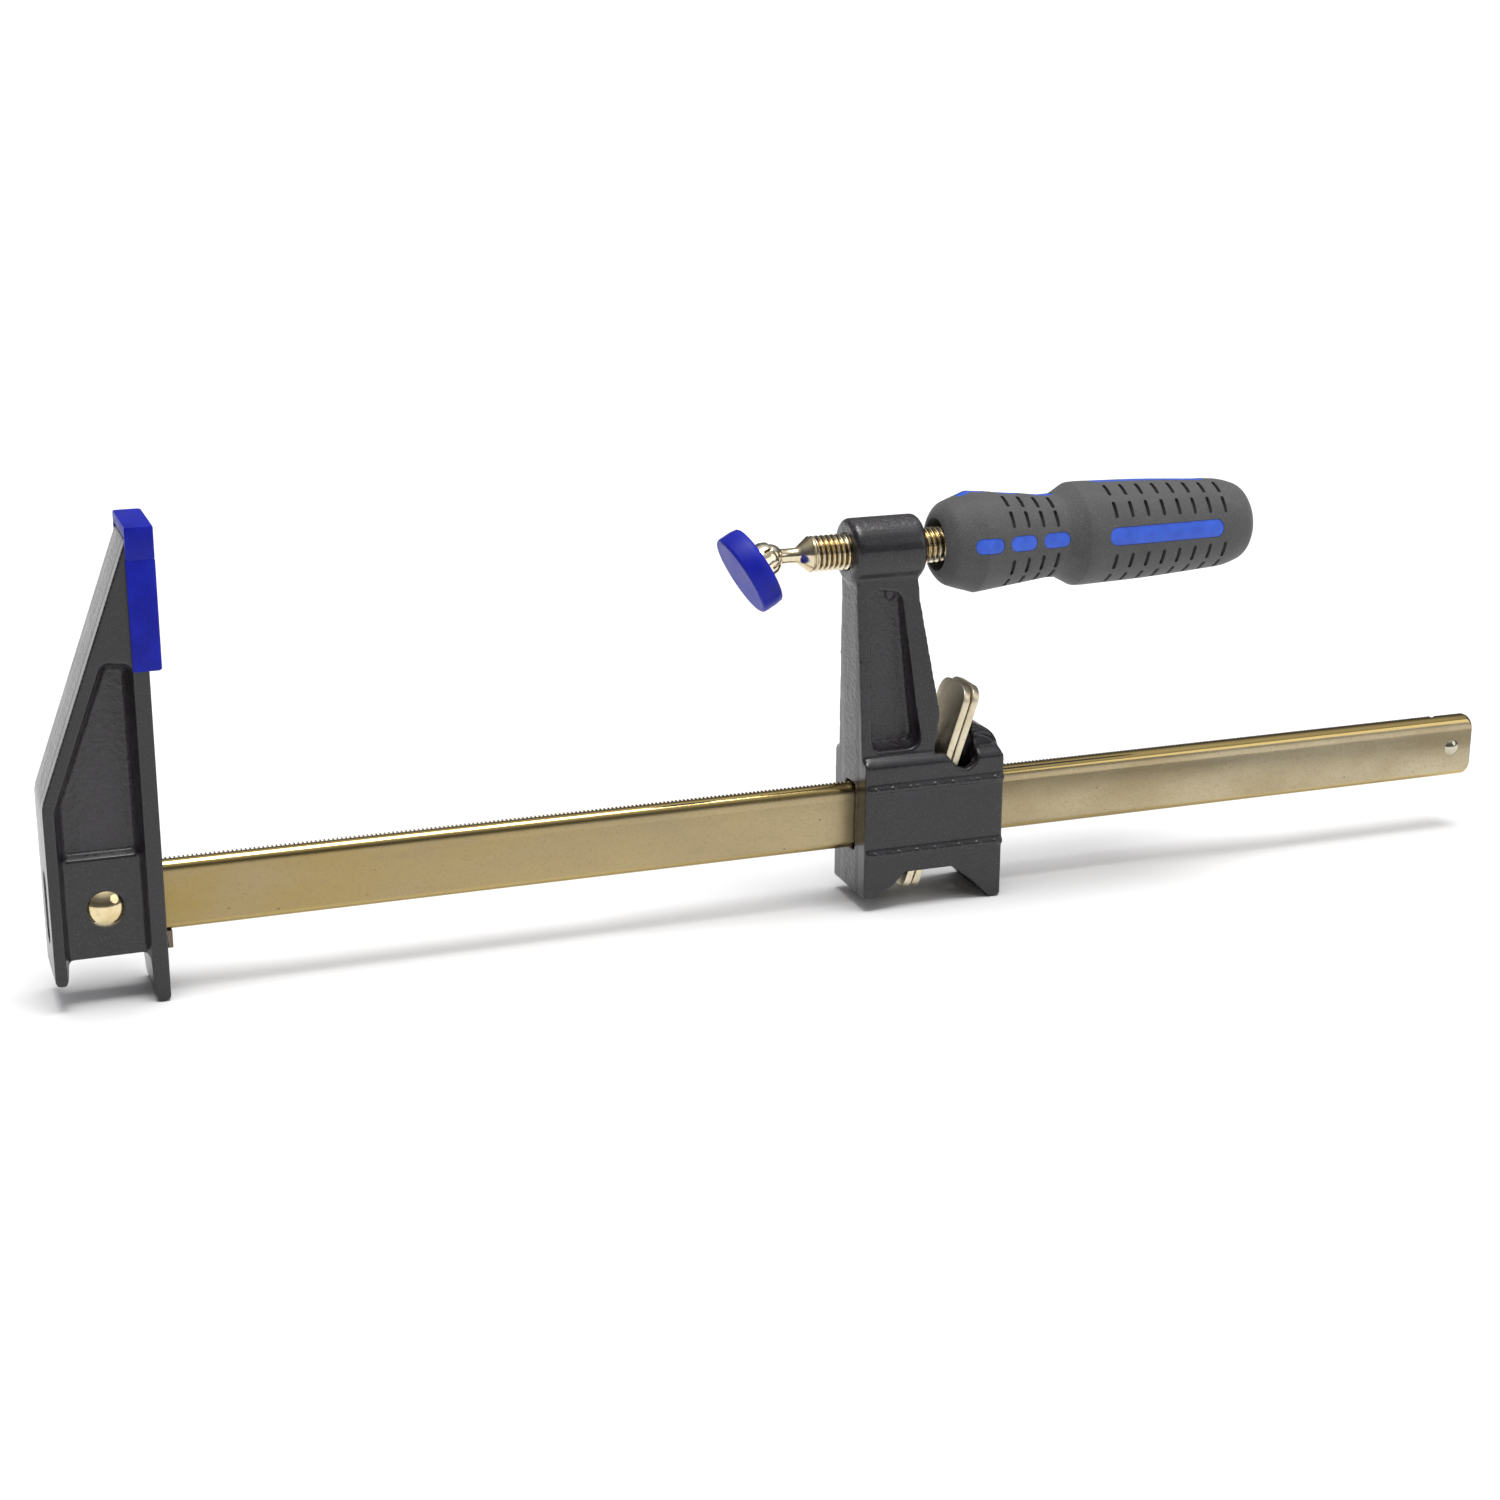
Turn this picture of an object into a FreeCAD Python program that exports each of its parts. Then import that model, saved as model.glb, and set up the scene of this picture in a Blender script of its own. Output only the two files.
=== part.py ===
import FreeCAD, Part
import math
import os

# A bar clamp with a fixed jaw, a sliding arm locked by tilting clutch plates, and a screw with
# a swivel pad. Millimetres. X runs along the bar from the fixed jaw to the free end, Z is up,
# towards the jaws, and Y is across. The origin lies on the face of the fixed jaw's pad, where
# the screw's axis meets it.

V = FreeCAD.Vector

# ---- driving sizes --------------------------------------------------------------------------
throat = 66.7                 # top of the bar to the screw's axis
bar_height = 19.0
bar_thickness = 6.4
bar_length = 425.8
bar_edge_round = 2.8          # rounding of the bar's four long edges
bar_end_round = 2.0
bar_recess = 1.0              # its hidden end inside the jaw's back

jaw_depth = 28.6              # fixed jaw along the bar
jaw_width = 20.0
jaw_web = 13.2                # thickness round the bar
jaw_upper_web = 8.0           # thickness of the web in the upper pocket
jaw_flange = 4.2              # front flange, behind the pad
jaw_rim = 3.4                 # back rim
jaw_top = 20.3                # above the screw's axis
jaw_front_foot = 16.4         # below the bar
jaw_back_foot = 9.2           # below the bar
jaw_floor = 3.6               # metal under the bar, between the feet
jaw_knee = 20.0               # bend of the jaw's back above the bar
jaw_pocket_top = 31.0         # top of the side pockets below the jaw's top
jaw_shelf = 4.0               # bottom of the upper pockets above the bar

pad_thickness = 3.0           # soft pad in front of the jaw
pad_wall = 1.2                # its sides
pad_wrap = 4.2                # how far its sides reach back
pad_below_axis = 13.7
pad_cap_top = 2.7             # pad above the jaw's top

rivet_radius = 3.0
rivet_head_radius = 4.8
rivet_head_height = 2.2
wedge_length = 19.0
wedge_width = 4.0
wedge_thickness = 1.5
wedge_proud = 2.3             # wedge standing out of the jaw
wedge_lip = 5.0               # its end, bent down over the casting

stop_inset = 6.9              # stop pin from the bar's free end
stop_radius = 2.0
stop_head_radius = 2.5
stop_head_height = 1.0

arm_reach = 189.7             # pad face to the arm's front face, at rest
arm_length = 42.3             # sliding arm along the bar
arm_width = 23.0
arm_wall = 2.6                # side walls round the clutch plates
shoulder_rise = 9.0           # top of the arm's box above the bar
shoulder_edge = 1.8           # slope of its long edges, down from its top
arm_bead = 1.0                # radius of the beads along its sides
arm_bead_height = 0.5         # their middle above the bar's edges
cavity_front = 8.5            # hollow for the plates, from the arm's front face
hump_half = 7.5               # half width of the hump behind the plates
column_half = 5.7             # half width of the arm's column under the boss
column_root = 9.0             # half width of the column on the shoulder
arm_front_foot = 12.8         # below the bar
arm_rear_foot = 16.4          # below the bar
bar_fit = 0.25                # play of the arm on the bar, each side
boss_radius = 9.1
boss_length = 21.0
boss_front = -2.5             # boss face from the arm's front face

plate_thickness = 2.2
plate_side_play = 0.4         # between the plates and the arm's side walls
plate_gap = 0.3               # between the two plates
plate_lean = 18.0             # degrees from upright when they grip
plate_swing = 9.0             # degrees that they straighten when released
plate_above_bar = 28.1        # their length past the bar's edges
plate_below_bar = 13.1
plate_centre = 22.3           # middle of the pair from the arm's front face
plate_play = 0.02             # play of a gripping plate on the bar
window_play = 1.0             # the arm's window in front of the plates
window_back = 33.6            # end of the window from the arm's front face
spring_above_bar = 4.9
spring_radius = 2.2
spring_wire = 0.5
spring_turns = 5
spring_room = 10.1            # depth of its hole, in front of the plates
spring_ends = 1.0             # free length left at its far end

screw_radius = 5.0            # M10
screw_play = 0.06             # radial, in the boss
neck_radius = 2.15
neck_length = 8.2             # ball's middle to the cone
cone_length = 3.0
ball_radius = 3.6
ball_back = 24.7              # ball's middle in front of the arm's front face
swivel_droop = 29.0           # degrees that the pad hangs down at rest

seat_radius = 9.0
seat_thickness = 2.0
seat_wall = 1.4               # steel round the ball
seat_lip = 0.6                # thinner at the crimped mouth
seat_mouth = 0.33             # mouth behind the ball's middle, in ball radii
ball_play = 0.06
cap_radius = 11.6
cap_thickness = 6.6
cap_face = 9.9                # pad face in front of the ball's middle
cap_lip = 1.0                 # rim that holds the cap on the seat
cap_lip_radius = ball_radius + seat_wall + 2.6

handle_gap = 5.8              # boss to handle, at rest
handle_length = 97.0
handle_waist = 33.0           # length of the front grip
recess_radius = 7.2
recess_depth = 5.5
tang_size = 6.6               # square tail of the screw
tang_length = 38.0
grip_wall = 2.6               # rubber thickness
grip_nose = 9.0               # radii of the grip: nose, front swell, waist, rear swell, tail
grip_front = 14.2
grip_waist = 11.7
grip_rear = 14.7
grip_tail = 7.5
inlay_width = 4.4
inlay_start = 6.5             # first inlay from the handle's front end
inlay_gap = 2.2               # between the three short ones
inlay_past_waist = 3.0
inlay_turn = -6.0             # degrees round the handle, at rest
rear_inlay_width = 5.2
rear_inlay_start = 14.0       # long inlay behind the waist
rear_inlay_end = 13.0         # and in front of the tail
grip_step = 9.0               # rear swell behind the waist

# ---- places that follow from them -----------------------------------------------------------
bar_top = -throat
bar_bottom = bar_top - bar_height
bar_middle = bar_top - bar_height / 2
jaw_front = -pad_thickness
jaw_back = jaw_front - jaw_depth
bar_start = jaw_back + bar_recess
bar_end = bar_start + bar_length
arm_front = arm_reach
arm_shoulder = bar_height + shoulder_rise
axis_height = bar_height + throat             # screw's axis above the bar's bottom edge
plate_width = arm_width - 2 * (arm_wall + plate_side_play)
ball_x = arm_front - ball_back
cone_x = ball_x + neck_length
screw_start = cone_x + cone_length
boss_end = arm_front + boss_front + boss_length
handle_start = boss_end + handle_gap
stop_x = bar_end - stop_inset
rivet_x = jaw_back + jaw_depth / 2 - 0.2


# ---- shapes used more than once -------------------------------------------------------------
def block(x0, x1, y0, y1, z0, z1):
    return Part.makeBox(x1 - x0, y1 - y0, z1 - z0, V(x0, y0, z0))


def rod(x0, x1, radius, z=0.0):
    return Part.makeCylinder(radius, x1 - x0, V(x0, 0, z), V(1, 0, 0))


def rounded(corners, place):
    """A closed wire through (a, b, radius) corners, each rounded by its radius."""
    count = len(corners)
    edges = []
    ends = []
    for i, (a, b, radius) in enumerate(corners):
        here = V(a, b, 0)
        before = V(corners[i - 1][0], corners[i - 1][1], 0)
        after = V(corners[(i + 1) % count][0], corners[(i + 1) % count][1], 0)
        if radius == 0:
            ends.append((here, None, here))
            continue
        back = (before - here).normalize()
        ahead = (after - here).normalize()
        half = back.getAngle(ahead) / 2
        reach = radius / math.tan(half)
        middle = (back + ahead).normalize() * (radius / math.sin(half) - radius)
        ends.append((here + back * reach, here + middle, here + ahead * reach))
    for i, (start, middle, end) in enumerate(ends):
        if middle is not None:
            edges.append(Part.Arc(place(start), place(middle), place(end)).toShape())
        following = ends[(i + 1) % count][0]
        if end.distanceToPoint(following) > 1e-6:
            edges.append(Part.LineSegment(place(end), place(following)).toShape())
    return Part.Wire(Part.__sortEdges__(edges))


def plate_xz(corners, y0, y1):
    """A plate with an outline in X and Z, from y0 to y1."""
    wire = rounded(corners, lambda p: V(p.x, y0, p.y))
    return Part.Face(wire).extrude(V(0, y1 - y0, 0))


def plate_yz(corners, x0, x1):
    wire = rounded(corners, lambda p: V(x0, p.x, p.y))
    return Part.Face(wire).extrude(V(x1 - x0, 0, 0))


def inset(corners, depth):
    """The same outline moved inwards by depth. Its corners run anticlockwise."""
    count = len(corners)
    moved = []
    for i, (a, b, radius) in enumerate(corners):
        before = V(a - corners[i - 1][0], b - corners[i - 1][1], 0).normalize()
        after = V(corners[(i + 1) % count][0] - a, corners[(i + 1) % count][1] - b, 0).normalize()
        n0 = V(-before.y, before.x, 0)
        n1 = V(-after.y, after.x, 0)
        shift = (n0 + n1) * (depth / (1 + n0.dot(n1)))
        moved.append((a + shift.x, b + shift.y, max(radius - depth, 0.4)))
    return moved


def pocket(corners, outer, floor, draft):
    """A pocket's cutter on both sides: from y = outer in to y = floor, narrowing by draft."""
    cutters = []
    for side in (-1, 1):
        mouth = rounded(corners, lambda p: V(p.x, side * outer, p.y))
        bottom = rounded(inset(corners, draft), lambda p: V(p.x, side * floor, p.y))
        cutters.append(Part.makeLoft([mouth, bottom], True, True))
    return cutters


def turned(profile, z=0.0):
    """A solid turned about the X direction at height z; profile points are (x, radius)."""
    points = [V(x, 0, z + radius) for x, radius in profile]
    points.append(V(profile[-1][0], 0, z))
    points.append(V(profile[0][0], 0, z))
    points.append(points[0])
    clean = [points[0]]
    for point in points[1:]:
        if point.distanceToPoint(clean[-1]) > 1e-6:
            clean.append(point)
    if clean[0].distanceToPoint(clean[-1]) > 1e-6:
        clean.append(clean[0])
    face = Part.Face(Part.makePolygon(clean))
    return face.revolve(V(0, 0, z), V(1, 0, 0), 360)


def headed_pin(x, z, shank, head, height, half_length):
    """A pin along Y with a domed head on each end."""
    pin = Part.makeCylinder(shank, 2 * half_length, V(x, -half_length, z), V(0, 1, 0))
    ball = (head * head + height * height) / (2 * height)
    for side in (-1, 1):
        dome = Part.makeSphere(ball, V(x, side * (half_length + height - ball), z))
        start = V(x, side * half_length, z)
        pin = pin.fuse(dome.common(Part.makeCylinder(head, height, start, V(0, side, 0))))
    return pin.removeSplitter()


parts = {}


# ---- bar: rolled flat steel, with holes for the rivet and the stop pin ----------------------
def make_bar():
    half = bar_thickness / 2
    r = bar_edge_round
    section = [(-half, bar_bottom, r), (half, bar_bottom, r), (half, bar_top, r), (-half, bar_top, r)]
    bar = plate_yz(section, bar_start, bar_end)
    for z, side in ((bar_bottom, 1), (bar_top, -1)):
        r = bar_end_round
        corner = block(bar_end - r, bar_end + 1, -half - 1, half + 1, min(z, z + side * r),
                       max(z, z + side * r))
        centre = V(bar_end - r, -half - 1, z + side * r)
        bar = bar.cut(corner.cut(Part.makeCylinder(r, bar_thickness + 2, centre, V(0, 1, 0))))
    for x, radius in ((rivet_x, rivet_radius), (stop_x, stop_radius)):
        bar = bar.cut(Part.makeCylinder(radius, bar_thickness, V(x, -half, bar_middle), V(0, 1, 0)))
    return bar


# ---- fixed jaw: one casting with a front flange, a back rim and two feet --------------------
def make_fixed_jaw():
    half = jaw_width / 2
    knee = bar_top + jaw_knee
    nose = jaw_front - jaw_flange
    outline = [
        (jaw_back, bar_bottom - jaw_back_foot, 1.6),
        (jaw_back + jaw_rim, bar_bottom - jaw_back_foot, 1.6),
        (jaw_back + jaw_rim + 0.6, bar_bottom - jaw_floor, 1.2),
        (jaw_front - jaw_flange - 0.4, bar_bottom - jaw_floor, 1.2),
        (jaw_front - jaw_flange + 0.6, bar_bottom - jaw_front_foot, 1.5),
        (jaw_front, bar_bottom - jaw_front_foot, 1.5),
        (jaw_front, jaw_top, 0),
        (nose + 0.6, jaw_top, 2.4),
        (jaw_back, knee, 9.0),
    ]
    jaw = plate_xz(outline, -half, half)
    lean = (nose + 0.6 - jaw_back) / (jaw_top - knee)
    top = jaw_top - jaw_pocket_top
    side = jaw_back + jaw_rim - 0.6
    slope_top = side + (top - knee) * lean + 0.6
    flange_in = jaw_front - jaw_flange + 0.2
    shelf = bar_top + jaw_shelf
    lower = [
        (side, bar_bottom - jaw_floor - 8, 0.5),
        (flange_in, bar_bottom - jaw_floor - 8, 0.5),
        (flange_in, top - 1.0, 2.6),
        (slope_top, top, 2.6),
        (side, knee - 1.5, 7.0),
    ]
    for cutter in pocket(lower, half, jaw_web / 2, 1.4):
        jaw = jaw.cut(cutter)
    upper = [
        (side + 1.0, shelf, 1.6),
        (flange_in - 1.0, shelf, 1.6),
        (flange_in - 1.0, top - 2.6, 2.2),
        (slope_top + 0.6, top - 1.8, 2.2),
        (side + 1.0, knee - 1.5, 6.0),
    ]
    for cutter in pocket(upper, jaw_web / 2 + 0.6, jaw_upper_web / 2, 1.2):
        jaw = jaw.cut(cutter)
    slot = plate_yz([(-bar_thickness / 2, bar_bottom, bar_edge_round),
                     (bar_thickness / 2, bar_bottom, bar_edge_round),
                     (bar_thickness / 2, bar_top, bar_edge_round),
                     (-bar_thickness / 2, bar_top, bar_edge_round)], jaw_back - 1, jaw_front + 1)
    jaw = jaw.cut(slot)
    wedge_end = jaw_front + wedge_proud
    jaw = jaw.cut(block(wedge_end - wedge_length, jaw_front + 1, -wedge_width / 2, wedge_width / 2,
                        bar_bottom - wedge_thickness, bar_bottom + 0.4))
    hole = Part.makeCylinder(rivet_radius, jaw_width, V(rivet_x, -half, bar_middle), V(0, 1, 0))
    return jaw.cut(hole)


# ---- wedge driven in under the bar to take up its play in the jaw ---------------------------
def make_wedge():
    end = jaw_front + wedge_proud
    tongue = block(end - wedge_length, end, -wedge_width / 2, wedge_width / 2,
                   bar_bottom - wedge_thickness, bar_bottom)
    lip = block(end - wedge_thickness, end, -wedge_width / 2, wedge_width / 2,
                bar_bottom - wedge_lip, bar_bottom)
    wedge = tongue.fuse(lip).removeSplitter()
    return wedge.makeFillet(0.3, [e for e in wedge.Edges if e.BoundBox.XMin > end - 0.01])


# ---- soft pad that slips over the fixed jaw's nose ------------------------------------------
def make_jaw_pad():
    half = jaw_width / 2 + pad_wall
    back = jaw_front - pad_wrap
    top = jaw_top + pad_cap_top
    pad = block(back, 0, -half, half, -pad_below_axis, top)
    pad = pad.cut(block(back - 1, jaw_front, -jaw_width / 2, jaw_width / 2,
                        -pad_below_axis - 1, jaw_top))
    edges = [e for e in pad.Edges if e.BoundBox.XMin > -0.01]
    return pad.makeFillet(0.5, edges)


# ---- sliding arm: one casting -----------------------------------------------------------------
def make_sliding_arm():
    half = arm_width / 2
    end = arm_length
    low = bar_bottom

    def at(points):
        return [(arm_front + u, low + h, r) for u, h, r in points]

    box = plate_xz(at([
        (0, -arm_front_foot, 0.8),
        (4.6, -arm_front_foot, 0.8),
        (5.0, -10.8, 0.8),
        (8.5, -9.8, 0.8),
        (12.5, -5.7, 1.0),
        (27.0, -5.7, 1.0),
        (window_back - 0.6, -10.4, 3.0),
        (end - 3.2, -arm_rear_foot, 1.0),
        (end, -arm_rear_foot, 1.2),
        (end, bar_height + 13.0, 7.6),
        (window_back + 0.2, bar_height + 13.0, 0.8),
        (window_back + 0.6, bar_height + 6.0, 1.5),
        (window_back - 2.6, bar_height + 3.8, 2.0),
        (27.5, bar_height + 5.2, 1.5),
        (24.5, arm_shoulder, 1.5),
        (0, arm_shoulder, 1.5),
    ]), -half, half)
    edge = low + arm_shoulder - shoulder_edge
    ridge = low + arm_shoulder + 0.6
    crown = ridge + 8.4
    shoulders = [(-half, low - arm_rear_foot - 1, 0), (half, low - arm_rear_foot - 1, 0),
                 (half, edge, 2.0), (column_root, ridge, 2.0), (column_root - 1.5, crown, 0),
                 (1.5 - column_root, crown, 0), (-column_root, ridge, 2.0), (-half, edge, 2.0)]
    box = box.common(plate_yz(shoulders, arm_front - 1, arm_front + end + 1))
    column = plate_xz(at([
        (0, arm_shoulder - 6, 0),
        (28.5, arm_shoulder - 4, 0),
        (27.2, arm_shoulder + 2, 3.0),
        (23.6, arm_shoulder + 11, 12.0),
        (17.6, axis_height - 13.7, 6.0),
        (16.8, axis_height - 4, 0),
        (-1.3, axis_height - 4, 0),
        (-0.1, arm_shoulder, 0),
    ]), -half, half)
    foot = low + arm_shoulder
    neck = -boss_radius * 2 / 3
    taper = [(-column_root, foot - 6, 0), (column_root, foot - 6, 0),
             (column_root - 0.2, foot + 2, 0), (column_half, neck, 0), (column_half, 0, 0),
             (-column_half, 0, 0), (-column_half, neck, 0), (0.2 - column_root, foot + 2, 0)]
    column = column.common(plate_yz(taper, arm_front - 5, arm_front + end))
    arm = box.fuse(column)
    boss = rod(arm_front + boss_front, boss_end, boss_radius)
    boss = boss.makeFillet(1.6, [e for e in boss.Edges if e.BoundBox.XLength < 0.01])
    arm = arm.fuse(boss)
    back = window_back
    hump = plate_xz(at([(back, bar_height - 4, 0), (end, bar_height - 4, 0),
                        (end, bar_height + 15.2, 8.0), (back, bar_height + 15.2, 0.6)]),
                    -hump_half, hump_half)
    arm = arm.fuse(hump)
    for h in (arm_bead_height, bar_height + arm_bead_height):
        for side in (-1, 1):
            bead = rod(arm_front + 0.6, arm_front + end, arm_bead, low + h)
            bead.translate(V(0, side * (half - 0.1), 0))
            arm = arm.fuse(bead)
    arm = arm.removeSplitter()
    under_boss = axis_height - boss_radius + 0.4
    recess = at([(2.6, arm_shoulder + 1.5, 3.5), (18.6, arm_shoulder + 1.5, 4.0),
                 (16.6, arm_shoulder + 15, 8.0), (13.0, under_boss - 2, 4.0),
                 (1.6, under_boss, 4.0)])
    for cutter in pocket(recess, 10.0, 2.8, 1.4):
        arm = arm.cut(cutter)
    slot_half = bar_thickness / 2 + bar_fit
    arm = arm.cut(block(arm_front - 1, arm_front + end + 1, -slot_half, slot_half,
                        bar_bottom - bar_fit, bar_top + bar_fit))
    released = plate_lean - plate_swing
    above = bar_height + 26
    middle = bar_height / 2
    inside = half - arm_wall
    cavity = at([(cavity_front, -arm_rear_foot - 1, 0), (back, -arm_rear_foot - 1, 0), (back, above, 0),
                 (plate_face(above, released) - window_play, above, 0),
                 (plate_face(middle, released) - window_play, middle, 0),
                 (plate_face(1.0, plate_lean) - 2 * window_play, 1.0, 0),
                 (cavity_front, 1.0, 0)])
    arm = arm.cut(plate_xz(cavity, -inside, inside))
    height = bar_height + spring_above_bar
    face = plate_face(height, plate_lean)
    arm = arm.cut(rod(arm_front + face - spring_room, arm_front + face, spring_radius + 0.3,
                      low + height))
    bore = rod(arm_front + boss_front - 1, boss_end + 1, screw_radius + screw_play)
    return arm.cut(bore)


# ---- clutch plates: two slotted steel plates that lean on the bar and grip its edges --------
def plate_face(height, degrees):
    """Front face of the pair of plates at a height and a lean, from the arm's front face."""
    lean = math.radians(degrees)
    ahead = (plate_thickness + plate_gap / 2) / math.cos(lean)
    return plate_centre - ahead + (height - bar_height / 2) * math.tan(lean)


def make_clutch_plate(offset):
    lean = math.radians(plate_lean)
    half = plate_width / 2
    t = plate_thickness
    opening = (bar_height + t * math.sin(lean)) / math.cos(lean) + 2 * plate_play
    top = bar_height / 2 + plate_above_bar
    low = -bar_height / 2 - plate_below_bar
    outline = [(-half, low, 3.0), (half, low, 3.0), (half, top, 4.5), (-half, top, 4.5)]
    plate = plate_yz(outline, -t / 2, t / 2)
    slot = bar_thickness / 2 + bar_fit
    plate = plate.cut(block(-t, t, -slot, slot, -opening / 2, opening / 2))
    plate.rotate(V(0, 0, 0), V(0, 1, 0), plate_lean)
    centre = arm_front + plate_centre + offset / math.cos(lean)
    plate.translate(V(centre, 0, bar_middle))
    return plate


# ---- clutch spring: a small coil that pushes the plates into their lean ----------------------
def make_clutch_spring():
    height = bar_height + spring_above_bar
    start = plate_face(height, plate_lean) - spring_room + 0.05
    coil_radius = spring_radius - spring_wire / 2
    run = spring_room - 0.05 - spring_ends - spring_wire
    helix = Part.makeHelix(run / spring_turns, run, coil_radius)
    ring = Part.Wire(Part.makeCircle(spring_wire / 2, V(coil_radius, 0, 0), V(0, 1, 0)))
    coil = Part.Wire(helix).makePipeShell([ring], True, True)
    coil.rotate(V(0, 0, 0), V(0, 1, 0), 90)
    coil.translate(V(arm_front + start + spring_wire / 2, 0, bar_bottom + height))
    return coil


# ---- screw, with its ball end as a solid of its own ------------------------------------------
def make_ball_end():
    ball = Part.makeSphere(ball_radius, V(ball_x, 0, 0))
    neck = rod(ball_x, cone_x, neck_radius)
    cone = Part.makeCone(neck_radius, screw_radius, cone_length, V(cone_x, 0, 0), V(1, 0, 0))
    return ball.fuse([neck, cone]).removeSplitter()


def make_screw():
    tang_start = handle_start + recess_depth
    thread = rod(screw_start, tang_start, screw_radius)
    half = tang_size / 2
    return thread.fuse(block(tang_start, tang_start + tang_length, -half, half, -half, half))


# ---- swivel pad: a steel seat crimped over the ball, and a soft cap over the seat ------------
def droop(shape):
    shape.rotate(V(ball_x, 0, 0), V(0, 1, 0), -swivel_droop)
    return shape


def make_pad_seat():
    back = ball_x - cap_face + cap_thickness
    front = back - cap_lip - seat_thickness
    mouth = ball_x + seat_mouth * ball_radius
    cup = ball_radius + seat_wall
    seat = turned([(front, seat_radius), (back - cap_lip, seat_radius), (back - cap_lip, cup + 2.0),
                   (back, cup + 0.8), (ball_x - 0.5, cup), (mouth, ball_radius + seat_lip)])
    seat = seat.cut(Part.makeSphere(ball_radius + ball_play, V(ball_x, 0, 0)))
    return droop(seat)


def make_pad_cap():
    face = ball_x - cap_face
    back = face + cap_thickness
    cap = turned([(face, cap_radius - 0.8), (face + 0.8, cap_radius), (back - 0.6, cap_radius),
                  (back, cap_radius - 0.6)])
    cap = cap.cut(rod(back - cap_lip - seat_thickness, back - cap_lip, seat_radius))
    cap = cap.cut(rod(back - cap_lip, back + 1, cap_lip_radius))
    return droop(cap)


# ---- handle: a hard core with raised inlays, and a rubber grip moulded round it --------------
def handle_profile(wall):
    x = handle_start
    end = x + handle_length
    waist = x + handle_waist
    step = waist + grip_step
    return [(x + wall, grip_nose - wall), (x + 2.0, grip_nose + 2.4 - wall),
            (x + 10.5, grip_front - wall), (x + 13.5, grip_front - 0.3 - wall),
            (waist, grip_waist - wall), (waist + 3.5, grip_waist - wall),
            (step, grip_rear - wall), (step + 22.0, grip_rear - 0.5 - wall),
            (end - 8.0, grip_tail + 5.0 - wall), (end - 3.0, grip_tail + 3.5 - wall),
            (end - wall, grip_tail - wall)]


def make_inlays():
    """Raised bars at four sides: three short ones on the front grip and a long one behind."""
    first = handle_start + inlay_start
    waist = handle_start + handle_waist
    length = (waist + inlay_past_waist - first - 2 * inlay_gap) / 3
    starts = [first + i * (length + inlay_gap) for i in range(3)]
    spans = [(start, start + length, inlay_width / 2) for start in starts]
    rear_end = handle_start + handle_length - rear_inlay_end
    spans.append((waist + rear_inlay_start, rear_end, rear_inlay_width / 2))
    bars = []
    for start, end, half in spans:
        r = half - 0.1
        corners = [(start, -half, r), (end, -half, r), (end, half, r), (start, half, r)]
        for turn in (0, 90, 180, 270):
            wire = rounded(corners, lambda p: V(p.x, p.y, 4.0))
            bar = Part.Face(wire).extrude(V(0, 0, 14.0))
            bar.rotate(V(0, 0, 0), V(1, 0, 0), turn + inlay_turn)
            bars.append(bar)
    return bars


def make_handle():
    outside = turned(handle_profile(0.0))
    core = turned(handle_profile(grip_wall))
    bars = Part.makeCompound(make_inlays())
    raised = outside.common(bars)
    recess = rod(handle_start - 1, handle_start + recess_depth, recess_radius)
    core = core.fuse(raised).cut(recess).cut(make_screw())
    grip = outside.cut(core).cut(recess).cut(make_screw())
    grip = grip.cut(turned(handle_profile(grip_wall)))
    return core, grip


parts["bar"] = make_bar()
parts["fixed_jaw"] = make_fixed_jaw()
parts["bar_wedge"] = make_wedge()
parts["jaw_pad"] = make_jaw_pad()
parts["jaw_rivet"] = headed_pin(rivet_x, bar_middle, rivet_radius, rivet_head_radius,
                                rivet_head_height, jaw_web / 2)
parts["stop_pin"] = headed_pin(stop_x, bar_middle, stop_radius, stop_head_radius,
                               stop_head_height, bar_thickness / 2)
parts["sliding_arm"] = make_sliding_arm()
plate_step = (plate_thickness + plate_gap) / 2
parts["clutch_plate_front"] = make_clutch_plate(-plate_step)
parts["clutch_plate_rear"] = make_clutch_plate(plate_step)
parts["clutch_spring"] = make_clutch_spring()
parts["screw_ball_end"] = make_ball_end()
parts["screw"] = make_screw()
parts["pad_seat"] = make_pad_seat()
parts["pad_cap"] = make_pad_cap()
parts["handle_core"], parts["handle_grip"] = make_handle()

os.makedirs("parts", exist_ok=True)
for name, shape in parts.items():
    shape.exportStep("parts/" + name + ".step")
    print(name, shape.ShapeType, len(shape.Solids), shape.isValid(), round(shape.Volume, 1))
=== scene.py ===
import math

import bmesh
import bpy
from mathutils import Matrix, Vector


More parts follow.
